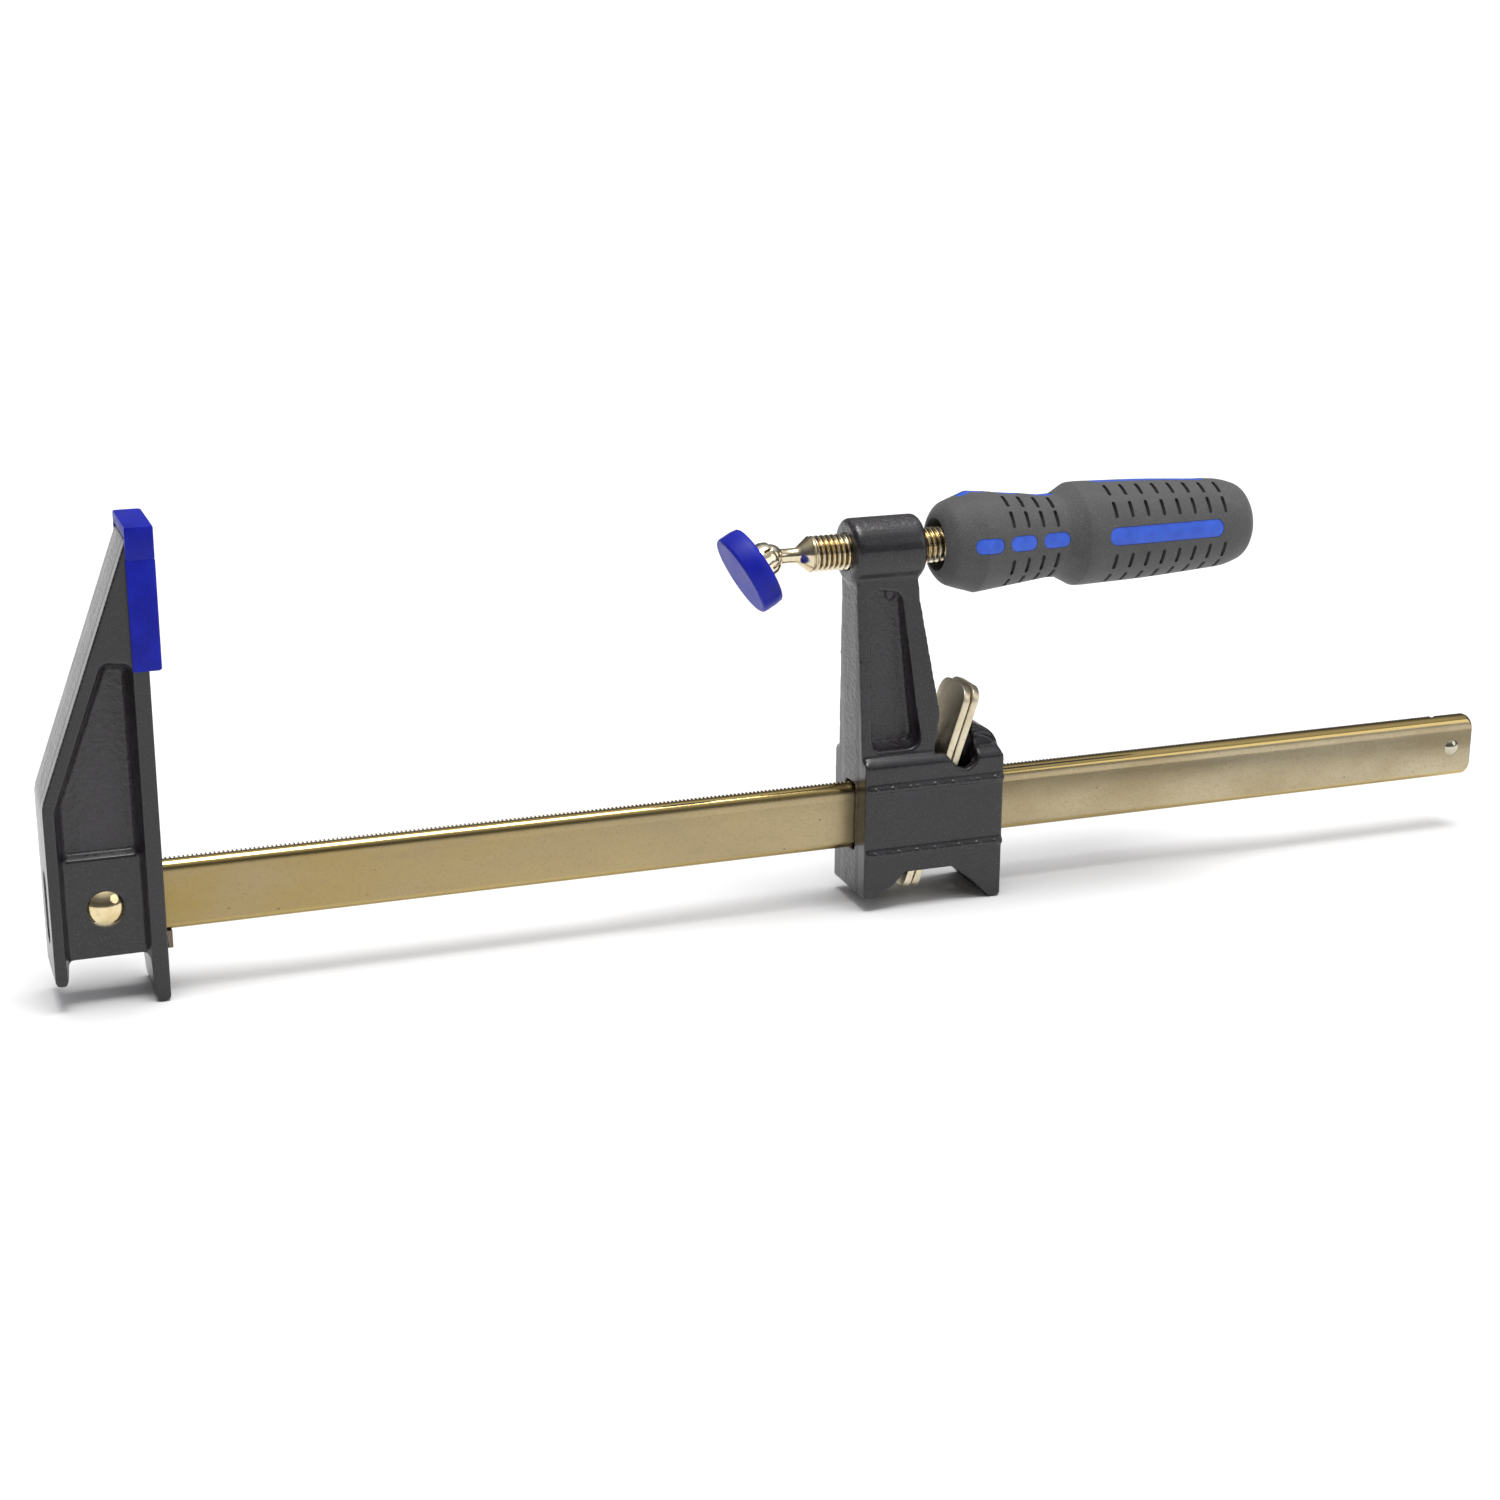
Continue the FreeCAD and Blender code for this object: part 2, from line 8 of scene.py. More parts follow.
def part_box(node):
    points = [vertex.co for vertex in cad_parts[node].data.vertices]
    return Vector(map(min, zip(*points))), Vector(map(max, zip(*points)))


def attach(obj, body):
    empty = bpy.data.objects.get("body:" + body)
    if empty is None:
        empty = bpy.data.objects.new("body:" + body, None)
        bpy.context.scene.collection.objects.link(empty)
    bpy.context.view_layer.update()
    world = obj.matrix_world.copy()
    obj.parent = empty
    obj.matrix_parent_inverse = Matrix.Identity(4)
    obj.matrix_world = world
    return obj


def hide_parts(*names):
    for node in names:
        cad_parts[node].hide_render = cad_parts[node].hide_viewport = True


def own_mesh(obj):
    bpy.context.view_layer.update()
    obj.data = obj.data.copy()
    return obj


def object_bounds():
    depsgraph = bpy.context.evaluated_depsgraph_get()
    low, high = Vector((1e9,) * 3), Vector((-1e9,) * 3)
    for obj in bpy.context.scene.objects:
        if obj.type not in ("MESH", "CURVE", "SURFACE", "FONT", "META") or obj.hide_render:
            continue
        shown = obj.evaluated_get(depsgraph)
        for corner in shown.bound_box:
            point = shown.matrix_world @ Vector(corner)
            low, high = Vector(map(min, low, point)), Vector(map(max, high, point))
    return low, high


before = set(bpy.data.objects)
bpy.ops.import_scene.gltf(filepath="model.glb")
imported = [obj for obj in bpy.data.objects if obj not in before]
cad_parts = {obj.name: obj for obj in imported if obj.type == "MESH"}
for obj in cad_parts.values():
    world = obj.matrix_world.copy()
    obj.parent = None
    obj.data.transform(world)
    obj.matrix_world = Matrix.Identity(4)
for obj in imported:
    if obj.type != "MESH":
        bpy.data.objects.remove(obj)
cad_low, cad_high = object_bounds()
MM = 0.001

# ---- bar -------------------------------------------------------------------------------------
# The bar is rolled flat steel with round edges, zinc plated to a satin champagne. Each narrow
# edge is knurled along its far half, for the clutch plates to bite on, and a fine line left by
# rolling runs along both flat sides. Its end is cropped with rounded corners.


def finish(name, metallic=0.0, roughness=0.5, **sockets):
    """A material with its shader's plain numbers set. Colour and relief are added by nodes."""
    material = bpy.data.materials.new(name)
    material.use_nodes = True
    shader = material.node_tree.nodes["Principled BSDF"]
    shader.inputs["Metallic"].default_value = metallic
    shader.inputs["Roughness"].default_value = roughness
    for socket, value in sockets.items():
        shader.inputs[socket.replace("_", " ")].default_value = value
    return material


def join(material, source, target):
    material.node_tree.links.new(source, target)
    return source


def place(material, stretch=(1, 1, 1)):
    """Object coordinates, stretched, for a pattern that stays on the piece."""
    coordinates = material.node_tree.nodes.new("ShaderNodeTexCoord")
    mapping = material.node_tree.nodes.new("ShaderNodeMapping")
    mapping.inputs["Scale"].default_value = stretch
    join(material, coordinates.outputs["Object"], mapping.inputs["Vector"])
    return mapping.outputs["Vector"]


def mottle(material, size, stretch=(1, 1, 1), detail=3.0, rough=0.55):
    """Cloudy noise with patches of about size metres."""
    texture = material.node_tree.nodes.new("ShaderNodeTexNoise")
    texture.inputs["Scale"].default_value = 1.0 / size
    texture.inputs["Detail"].default_value = detail
    texture.inputs["Roughness"].default_value = rough
    join(material, place(material, stretch), texture.inputs["Vector"])
    return texture.outputs["Fac"]


def spread(material, value, low, high, to_low=0.0, to_high=1.0):
    """value from low to high becomes to_low to to_high, and is held there."""
    node = material.node_tree.nodes.new("ShaderNodeMapRange")
    join(material, value, node.inputs["Value"])
    numbers = {"From Min": low, "From Max": high, "To Min": to_low, "To Max": to_high}
    for socket, number in numbers.items():
        node.inputs[socket].default_value = number
    return node.outputs["Result"]


def sums(material, operation, a, b):
    node = material.node_tree.nodes.new("ShaderNodeMath")
    node.operation = operation
    for socket, value in zip(node.inputs, (a, b)):
        if isinstance(value, (int, float)):
            socket.default_value = value
        else:
            join(material, value, socket)
    return node.outputs[0]


def tint(material, share, a, b):
    """Colour a where share is 0 and b where it is 1. Either may be a colour or a socket."""
    node = material.node_tree.nodes.new("ShaderNodeMix")
    node.data_type = "RGBA"
    join(material, share, node.inputs["Factor"])
    for socket, value in ((node.inputs["A"], a), (node.inputs["B"], b)):
        if isinstance(value, tuple):
            socket.default_value = (*value, 1.0)
        else:
            join(material, value, socket)
    return node.outputs["Result"]


def relief(material, *layers):
    """Bump layers, each (height, depth in metres, strength), one on another."""
    below = None
    for height, depth, strength in layers:
        bump = material.node_tree.nodes.new("ShaderNodeBump")
        bump.inputs["Distance"].default_value = depth
        bump.inputs["Strength"].default_value = strength
        join(material, height, bump.inputs["Height"])
        if below is not None:
            join(material, below, bump.inputs["Normal"])
        below = bump.outputs["Normal"]
    join(material, below, material.node_tree.nodes["Principled BSDF"].inputs["Normal"])


def dress(material, colour=None, roughness=None):
    shader = material.node_tree.nodes["Principled BSDF"]
    if colour is not None:
        join(material, colour, shader.inputs["Base Color"])
    if roughness is not None:
        join(material, roughness, shader.inputs["Roughness"])
    return material


def axis_place(material, axis):
    """Where a point lies along one axis, in metres."""
    split = material.node_tree.nodes.new("ShaderNodeSeparateXYZ")
    join(material, place(material), split.inputs["Vector"])
    return split.outputs[axis]


def skin(name, rings, material, sharp=35):
    """A closed piece over rings of points, with a flat end on the first ring and on the last."""
    mesh = bpy.data.meshes.new(name)
    count = len(rings[0])
    points = [point for ring in rings for point in ring]
    faces = []
    for r in range(len(rings) - 1):
        for i in range(count):
            j = (i + 1) % count
            faces.append((r * count + i, r * count + j, (r + 1) * count + j, (r + 1) * count + i))
    last = (len(rings) - 1) * count
    faces.append(tuple(reversed(range(count))))
    faces.append(tuple(range(last, last + count)))
    mesh.from_pydata(points, [], faces)
    return settle(name, mesh, material, sharp)


def settle(name, mesh, material, sharp=35):
    """The mesh as a piece: doubles merged, faces outwards, sharp only at real corners."""
    work = bmesh.new()
    work.from_mesh(mesh)
    bmesh.ops.remove_doubles(work, verts=work.verts, dist=1e-6)
    bmesh.ops.recalc_face_normals(work, faces=work.faces)
    work.to_mesh(mesh)
    work.free()
    mesh.shade_smooth()
    mesh.set_sharp_from_angle(angle=math.radians(sharp))
    mesh.materials.clear()
    mesh.materials.append(material)
    piece = bpy.data.objects.new(name, mesh)
    bpy.context.scene.collection.objects.link(piece)
    return piece


def stand_for(piece, node, body):
    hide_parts(node)
    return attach(piece, body)


bar_low, bar_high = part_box("bar")


def plated_bar():
    """Satin on the flat sides and glossy round the narrow edges, straw at the jaw's end and growing
    paler and lighter towards the free end as painted reflection and painted light.
    """
    material = finish("plated_bar", metallic=1.0, roughness=0.3)
    # painted reflection and painted light: the colour runs from straw at the jaw to paler and lighter at
    # the free end, lifted there against the shadow mirrored in it
    along = spread(material, axis_place(material, "X"), 0.0, 0.40)
    straw = tint(material, along, (0.345, 0.252, 0.098), (0.510, 0.445, 0.310))
    clouds = spread(material, mottle(material, 16 * MM, (0.5, 1, 1), 4.0), 0.40, 0.66, 0.0, 0.7)
    colour = tint(material, clouds, straw, (0.36, 0.285, 0.165))
    film = spread(material, mottle(material, 12 * MM, (0.22, 1, 1.6), 3.0), 0.60, 0.74, 0.0, 0.45)
    colour = tint(material, film, colour, (0.27, 0.215, 0.150))
    grain = spread(material, mottle(material, 0.5 * MM, detail=3.0), 0.52, 0.72, 0.0, 0.45)
    colour = tint(material, grain, colour, (0.24, 0.185, 0.105))
    specks = spread(material, mottle(material, 1.5 * MM, (0.7, 1, 1), 1.0), 0.765, 0.79, 0.0, 0.7)
    colour = tint(material, specks, colour, (0.12, 0.085, 0.05))
    across = sums(material, "ABSOLUTE", axis_place(material, "Y"), 0.0)
    flat = spread(material, across, bar_high.y - 0.35 * MM, bar_high.y - 0.05 * MM)
    colour = tint(material, flat, (0.46, 0.345, 0.135), colour)
    brushing = mottle(material, 0.30 * MM, (0.012, 1, 1), 4.0, 0.7)
    brushing = sums(material, "MULTIPLY", brushing, flat)
    clean = spread(material, brushing, 0.3, 0.7, -0.04, 0.05)
    dress(material, colour, sums(material, "ADD", clean, spread(material, flat, 0, 1, 0.13, 0.36)))
    pitting = mottle(material, 0.45 * MM, (1, 1, 1), 3.0)
    relief(material, (brushing, 0.006 * MM, 0.5), (pitting, 0.008 * MM, 0.4))
    return material


bar_round = 2.8 * MM
bar_corner = 2.0 * MM             # rounding of its free end, seen from the side
knurl_depth = 0.5 * MM
knurl_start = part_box("fixed_jaw")[1].x + 1.2 * MM
knurl_end = bar_high.x - 11 * MM
mark_height = 15.0 * MM           # the rolled line above the bar's bottom
mark_depth = 0.11 * MM
mark_half = 0.16 * MM
arm_low, arm_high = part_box("sliding_arm")


def bar_slice(x, shrink, low, high, mark, knurl):
    """The bar's outline at x. knurl lowers the far half of both narrow edges."""
    half = bar_high.y - shrink
    low += shrink
    high -= shrink
    middle = bar_low.z + mark_height
    points = []
    steps = 12
    for side, z, turn in ((-1, low, 180), (1, low, 270), (1, high, 0), (-1, high, 90)):
        inwards = 1 if z == low else -1
        centre = Vector((side * (half - bar_round), z + inwards * bar_round))
        for i in range(steps + 1):
            angle = math.radians(turn + 90 * i / steps)
            y = centre.x + bar_round * math.cos(angle)
            height = centre.y + bar_round * math.sin(angle)
            if y > 0:
                reach = min(1.0, (half - y) / (0.6 * MM))
                height += inwards * knurl * reach
            points.append((x, y, height))
        if z == low and side == 1:
            points += [(x, half, middle - mark_half), (x, half - mark, middle),
                       (x, half, middle + mark_half)]
        if z == high and side == 1:
            points += [(x, -0.05 * MM, high - knurl), (x, -0.2 * MM, high)]
    points += [(x, -half, middle + mark_half), (x, mark - half, middle), (x, -half, middle - mark_half)]
    return points


def make_bar(material):
    edge = 0.25 * MM
    rings = []
    plain = [(bar_low.x, edge, 0, 0), (bar_low.x + edge, 0, 0, 0), (knurl_start, 0, 0, 0),
             (knurl_start + 0.3 * MM, 0, 0, knurl_depth), (arm_low.x, 0, 0, knurl_depth),
             (arm_low.x + 25 * MM, 0, mark_depth, knurl_depth), (knurl_end, 0, mark_depth, knurl_depth),
             (knurl_end + 0.3 * MM, 0, mark_depth, 0)]
    for x, shrink, mark, knurl in plain:
        rings.append(bar_slice(x, shrink, bar_low.z, bar_high.z, mark, knurl))
    for i in range(9):
        turn = math.radians(90 * i / 8)
        x = bar_high.x - bar_corner * (1 - math.sin(turn)) - edge * (i == 7)
        drop = bar_corner * (1 - math.cos(turn))
        shrink = edge if i == 8 else 0.0
        rings.append(bar_slice(x, shrink, bar_low.z + drop, bar_high.z - drop, mark_depth, 0))
    return skin("bar_steel", rings, material)


bar_plating = plated_bar()
bar = make_bar(bar_plating)


def node_tree(name, inputs):
    """An empty geometry tree with named inputs, each (name, kind)."""
    tree = bpy.data.node_groups.new(name, "GeometryNodeTree")
    tree.interface.new_socket("Geometry", in_out="INPUT", socket_type="NodeSocketGeometry")
    for label, kind in inputs:
        tree.interface.new_socket(label, in_out="INPUT", socket_type="NodeSocket" + kind)
    tree.interface.new_socket("Geometry", in_out="OUTPUT", socket_type="NodeSocketGeometry")
    return tree, tree.nodes.new("NodeGroupInput"), tree.nodes.new("NodeGroupOutput")


def add(tree, kind, **settings):
    node = tree.nodes.new(kind)
    for label, value in settings.items():
        setattr(node, label, value)
    return node


def maths(tree, operation, a, b=0.0):
    """One sum of two numbers or sockets, in a geometry tree."""
    node = add(tree, "ShaderNodeMath", operation=operation)
    for socket, value in zip(node.inputs, (a, b)):
        if isinstance(value, (int, float)):
            socket.default_value = value
        else:
            tree.links.new(value, socket)
    return node.outputs[0]


def grow(name, seed_mesh, tree, values, material):
    """seed_mesh run through the tree with its inputs set, baked to a plain piece."""
    seed = bpy.data.objects.new(name + "_seed", seed_mesh)
    bpy.context.scene.collection.objects.link(seed)
    modifier = seed.modifiers.new(name, "NODES")
    modifier.node_group = tree
    for item in tree.interface.items_tree:
        if item.in_out == "INPUT" and item.name in values:
            modifier[item.identifier] = values[item.name]
    evaluated = seed.evaluated_get(bpy.context.evaluated_depsgraph_get())
    mesh = bpy.data.meshes.new_from_object(evaluated)
    bpy.data.objects.remove(seed)
    mesh.name = name
    return settle(name, mesh, material)


def close_tree(tree, geometry, given, result):
    """The tree's end: real geometry, with the Finish material on it."""
    real = add(tree, "GeometryNodeRealizeInstances")
    paint = add(tree, "GeometryNodeSetMaterial")
    tree.links.new(geometry, real.inputs["Geometry"])
    tree.links.new(real.outputs["Geometry"], paint.inputs["Geometry"])
    tree.links.new(given.outputs["Finish"], paint.inputs["Material"])
    tree.links.new(paint.outputs["Geometry"], result.inputs["Geometry"])
    return tree


def row_tree():
    """A row of copies of the seed, a pitch apart."""
    tree, given, result = node_tree("row", [
        ("Count", "Int"), ("Step", "Vector"), ("Finish", "Material")])
    line = add(tree, "GeometryNodeMeshLine")
    copies = add(tree, "GeometryNodeInstanceOnPoints")
    tree.links.new(given.outputs["Count"], line.inputs["Count"])
    tree.links.new(given.outputs["Step"], line.inputs["Offset"])
    tree.links.new(line.outputs["Mesh"], copies.inputs["Points"])
    tree.links.new(given.outputs["Geometry"], copies.inputs["Instance"])
    return close_tree(tree, copies.outputs["Instances"], given, result)


knurl_pitch = 1.15 * MM
row = row_tree()


def tooth(top):
    """The first tooth of one narrow edge, a low rib over the edge's far half."""
    outline = [(-0.15 * MM, bar_high.z - 0.02 * MM), (1.35 * MM, bar_high.z - 0.04 * MM)]
    for degrees in (48, 36, 24):
        angle = math.radians(degrees)
        y = bar_high.y - bar_round + bar_round * math.cos(angle)
        outline.append((y, bar_high.z - bar_round + bar_round * math.sin(angle)))
    sunk = [(y - 0.12 * MM, z - 0.7 * MM) for y, z in reversed(outline)]
    outline += sunk
    centre = bar_low.z + bar_high.z
    rings = []
    for x, share in ((-0.45, 1), (-0.16, 0), (0.16, 0), (0.45, 1)):
        ring = []
        for y, z in outline:
            z -= knurl_depth * share
            ring.append((knurl_start + 0.8 * MM + x * MM, y, z if top else centre - z))
        rings.append(ring)
    seed = skin("tooth", rings, bar_plating, sharp=20)
    mesh = seed.data
    bpy.data.objects.remove(seed)
    return mesh


teeth_count = int((knurl_end - knurl_start - 1.6 * MM) / knurl_pitch)
for edge_name, top in (("bar_teeth_top", True), ("bar_teeth_bottom", False)):
    row_values = {"Count": teeth_count, "Step": (knurl_pitch, 0.0, 0.0), "Finish": bar_plating}
    teeth = grow(edge_name, tooth(top), row, row_values, bar_plating)
    teeth.data.set_sharp_from_angle(angle=math.radians(20))
    stand_for(teeth, "bar", "frame")
stand_for(bar, "bar", "frame")

# ---- castings --------------------------------------------------------------------------------
# The fixed jaw and the sliding arm are sand castings under a satin black powder coat. Their
# corners are soft all over, and the skin is coarser down in the side pockets, whose floors are
# coloured lighter as painted sheen.


def powder_coat(name, pocket_floor, pocket_edge):
    material = finish(name, roughness=0.34, Specular_IOR_Level=0.30, Coat_Weight=0.55,
                      Coat_Roughness=0.20)
    patches = spread(material, mottle(material, 9 * MM, detail=4.0), 0.3, 0.7)
    colour = tint(material, patches, (0.0050, 0.0042, 0.0052), (0.0130, 0.0112, 0.0135))
    across = sums(material, "ABSOLUTE", axis_place(material, "Y"), 0.0)
    # painted sheen: the pocket floors are coloured lighter, and the same mask makes their sand relief
    # coarser
    pocket_sand_and_painted_sheen = spread(material, across, pocket_floor, pocket_edge, 1.0, 0.0)
    colour = tint(material, pocket_sand_and_painted_sheen, colour, (0.032, 0.028, 0.031))
    specks = spread(material, mottle(material, 0.40 * MM, detail=2.0), 0.56, 0.70, 0.0, 0.75)
    colour = tint(material, specks, colour, (0.050, 0.045, 0.050))
    sand = mottle(material, 1.7 * MM, (1, 1, 1.3), 3.0, 0.6)
    sand = sums(material, "MULTIPLY", sand, pocket_sand_and_painted_sheen)
    grain = mottle(material, 0.30 * MM, detail=2.0)
    waves = mottle(material, 2.6 * MM, detail=2.0)
    dress(material, colour, spread(material, patches, 0.0, 1.0, 0.30, 0.42))
    relief(material, (waves, 0.14 * MM, 0.4), (grain, 0.035 * MM, 0.4), (sand, 1.1 * MM, 1.0))
    return material


def copy_of(node):
    """A copy of a CAD node's mesh with its points merged."""
    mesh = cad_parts[node].data.copy()
    work = bmesh.new()
    work.from_mesh(mesh)
    bmesh.ops.remove_doubles(work, verts=work.verts, dist=2e-6)
    bmesh.ops.dissolve_limit(work, angle_limit=math.radians(0.5), verts=work.verts, edges=work.edges)
    work.to_mesh(mesh)
    work.free()
    return mesh


def bake(piece):
    """The piece with its modifiers applied."""
    evaluated = piece.evaluated_get(bpy.context.evaluated_depsgraph_get())
    mesh = bpy.data.meshes.new_from_object(evaluated)
    piece.modifiers.clear()
    piece.data = mesh
    return piece


def cast_piece(name, node, material, grain=0.45 * MM, softening=4, extras=()):
    """The node's shape with the soft corners of a casting. extras are bumps, (place, radius)."""
    mesh = copy_of(node)
    work = bmesh.new()
    work.from_mesh(mesh)
    for centre, radius in extras:
        bmesh.ops.create_icosphere(work, subdivisions=3, radius=radius,
                                   matrix=Matrix.Translation(centre))
    work.to_mesh(mesh)
    work.free()
    piece = bpy.data.objects.new(name, mesh)
    bpy.context.scene.collection.objects.link(piece)
    remesh = piece.modifiers.new("skin", "REMESH")
    remesh.mode = "VOXEL"
    remesh.voxel_size = grain
    soften = piece.modifiers.new("soften", "SMOOTH")
    soften.factor = 0.5
    soften.iterations = softening
    bake(piece)
    piece.data.shade_smooth()
    piece.data.materials.clear()
    piece.data.materials.append(material)
    return piece


jaw = cast_piece("jaw_casting", "fixed_jaw", powder_coat("jaw_coat", 4.4 * MM, 6.2 * MM))
stand_for(jaw, "fixed_jaw", "frame")
ejector_bump = Vector((arm_low.x + 12.0 * MM, 2.6 * MM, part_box("screw")[0].z - 7.4 * MM))
bumps = [(Vector((ejector_bump.x, side * ejector_bump.y, ejector_bump.z)), 1.7 * MM) for side in (-1, 1)]
arm_coat = powder_coat("arm_coat", 4.0 * MM, 6.5 * MM)
arm = cast_piece("arm_casting", "sliding_arm", arm_coat, extras=bumps)
stand_for(arm, "sliding_arm", "arm")


arm_side = arm_high.y - 1.0 * MM
bead_radius = 0.95 * MM
bead_start, bead_end = arm_low.x + 4.2 * MM, arm_high.x + 0.1 * MM


def bead(name, side, height, material):
    """A round bead along the arm's side, a little uneven, with rounded ends."""
    steps = 120
    rings = []
    for i in range(steps + 1):
        share = i / steps
        x = bead_start + (bead_end - bead_start) * share
        uneven = 1 + 0.10 * math.sin(41 * share + height * 9000) + 0.07 * math.sin(97 * share + side)
        tip = min(1.0, max(0.02, min(share, 1 - share) * steps / 3)) ** 0.5
        ring = []
        for k in range(16):
            around = 2 * math.pi * k / 16
            reach = bead_radius * uneven * tip
            ring.append((x, side * (arm_side + reach * math.cos(around)),
                         height + reach * math.sin(around)))
        rings.append(ring)
    return stand_for(skin(name, rings, material, 60), "sliding_arm", "arm")


for label, side in (("near", -1), ("far", 1)):
    bead("arm_bead_low_" + label, side, bar_low.z + 0.5 * MM, arm_coat)
    bead("arm_bead_high_" + label, side, bar_high.z + 0.5 * MM, arm_coat)

# ---- rivet, stop pin and wedge ---------------------------------------------------------------
# The rivet through the jaw and the stop pin at the bar's end are bright plated steel, each
# with a domed head peened on both sides. The wedge under the bar has its end bent down.


def bright_steel(name, pale, warm, shine=0.16, groove=None):
    """Bright plate over slightly stained steel. Below the groove radius it darkens."""
    material = finish(name, metallic=1.0, roughness=shine)
    patches = spread(material, mottle(material, 5 * MM, detail=3.0), 0.38, 0.64)
    colour = tint(material, patches, pale, warm)
    stains = spread(material, mottle(material, 1.1 * MM, detail=3.0), 0.62, 0.75, 0.0, 0.5)
    colour = tint(material, stains, colour, (0.33, 0.24, 0.13))
    if groove is not None:
        y, z = axis_place(material, "Y"), axis_place(material, "Z")
        squares = [sums(material, "MULTIPLY", value, value) for value in (y, z)]
        radius = sums(material, "SQRT", sums(material, "ADD", *squares), 0.0)
        low, high = groove
        # the thread's roots are coloured darker brown, below the groove radius
        root_darkening = spread(material, radius, low, high, 1.0, 0.0)
        colour = tint(material, root_darkening, colour, (0.16, 0.11, 0.055))
    clouds = mottle(material, 0.8 * MM)
    dress(material, colour, spread(material, clouds, 0.3, 0.7, shine * 0.8, shine * 1.5))
    relief(material, (mottle(material, 1.6 * MM, detail=2.0), 0.02 * MM, 0.25),
           (mottle(material, 0.25 * MM, detail=2.0), 0.004 * MM, 0.3))
    return material


def turned(name, profile, material, around=64, turn=None, sharp=35):
    """A piece turned about X from (x, radius) points. turn places it."""
    rings = []
    for x, radius in profile:
        ring = []
        for i in range(around):
            angle = 2 * math.pi * i / around
            point = Vector((x, radius * math.cos(angle), radius * math.sin(angle)))
            ring.append(turn @ point if turn is not None else point)
        rings.append(ring)
    return skin(name, rings, material, sharp)


def arc(centre, radius, start, end, steps=8):
    """Points (x, radius) round an arc, by angles in degrees from the X direction."""
    points = []
    for i in range(steps + 1):
        angle = math.radians(start + (end - start) * i / steps)
        points.append((centre[0] + radius * math.cos(angle), centre[1] + radius * math.sin(angle)))
    return points


def peened_pin(name, node, shank, material):
    """A pin across the bar with a domed head on each side, in the place of its CAD node."""
    low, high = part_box(node)
    head = (high.x - low.x) / 2
    reach = high.y
    rise = 0.42 * head
    ball = (head * head + rise * rise) / (2 * rise)
    edge = math.degrees(math.asin(head / ball))
    dome = [(x, max(r, 0.0)) for x, r in arc((reach - ball, 0.0), ball, 0.05, edge, 10)]
    half = dome + [(reach - rise - 0.25 * MM, head), (reach - rise - 0.3 * MM, shank)]
    profile = [(-x, r) for x, r in half] + list(reversed(half))
    middle = (low + high) / 2
    across = Matrix.Translation(middle) @ Matrix.Rotation(math.pi / 2, 4, "Z")
    return turned(name, profile, material, 72, across)


rivet_steel = bright_steel("rivet_steel", (0.80, 0.70, 0.46), (0.66, 0.53, 0.29), 0.10)
rivet = peened_pin("rivet_head", "jaw_rivet", 3.0 * MM, rivet_steel)
stand_for(rivet, "jaw_rivet", "frame")
pin_steel = bright_steel("pin_steel", (0.60, 0.56, 0.47), (0.42, 0.38, 0.28), 0.14)
pin = peened_pin("stop_pin_head", "stop_pin", 2.0 * MM, pin_steel)
stand_for(pin, "stop_pin", "frame")


def softened(name, node, material, width, segments=3, sharp=30):
    """The node's own shape with its edges rounded by width."""
    piece = bpy.data.objects.new(name, copy_of(node))
    bpy.context.scene.collection.objects.link(piece)
    bevel = piece.modifiers.new("edges", "BEVEL")
    bevel.width = width
    bevel.segments = segments
    bevel.limit_method = "ANGLE"
    bevel.angle_limit = math.radians(sharp)
    bake(piece)
    piece.data.shade_smooth()
    piece.data.set_sharp_from_angle(angle=math.radians(40))
    piece.data.materials.clear()
    piece.data.materials.append(material)
    return piece


wedge_finish = bright_steel("wedge_steel", (0.30, 0.26, 0.19), (0.14, 0.11, 0.08), 0.16)
wedge = softened("wedge_steel", "bar_wedge", wedge_finish, 0.28 * MM)
stand_for(wedge, "bar_wedge", "frame")

# ---- jaw pad ---------------------------------------------------------------------------------
# A royal blue cap of soft moulded vinyl that slips over the jaw's nose. Its sides are thin, and
# the mould leaves a faint step round it below its top.


def blue_vinyl(name):
    material = finish(name, roughness=0.45, Specular_IOR_Level=0.22, Sheen_Weight=0.05,
                      Sheen_Roughness=0.4)
    shades = spread(material, mottle(material, 7 * MM, detail=4.0), 0.3, 0.7)
    colour = tint(material, shades, (0.0024, 0.0058, 0.255), (0.0048, 0.0130, 0.380))
    dust = spread(material, mottle(material, 0.5 * MM, detail=3.0), 0.60, 0.80, 0.0, 0.25)
    colour = tint(material, dust, colour, (0.045, 0.075, 0.55))
    dress(material, colour, spread(material, shades, 0, 1, 0.42, 0.54))
    relief(material, (mottle(material, 0.35 * MM, detail=3.0), 0.03 * MM, 0.4),
           (mottle(material, 4 * MM, detail=1.0), 0.12 * MM, 0.3))
    return material


def cut_away(piece, cutter, operation="DIFFERENCE"):
    """Cut the piece by a cutter, which is then deleted."""
    modifier = piece.modifiers.new("cut", "BOOLEAN")
    modifier.operation = operation
    modifier.object = cutter
    modifier.solver = "EXACT"
    bake(piece)
    bpy.data.objects.remove(cutter)
    return piece


def slab(low, high):
    """A plain cutter between two corners."""
    mesh = bpy.data.meshes.new("slab")
    work = bmesh.new()
    bmesh.ops.create_cube(work, size=1.0)
    centre = (low + high) / 2
    bmesh.ops.scale(work, vec=high - low, verts=work.verts)
    bmesh.ops.translate(work, vec=centre, verts=work.verts)
    work.to_mesh(mesh)
    work.free()
    cutter = bpy.data.objects.new("slab", mesh)
    bpy.context.scene.collection.objects.link(cutter)
    return cutter


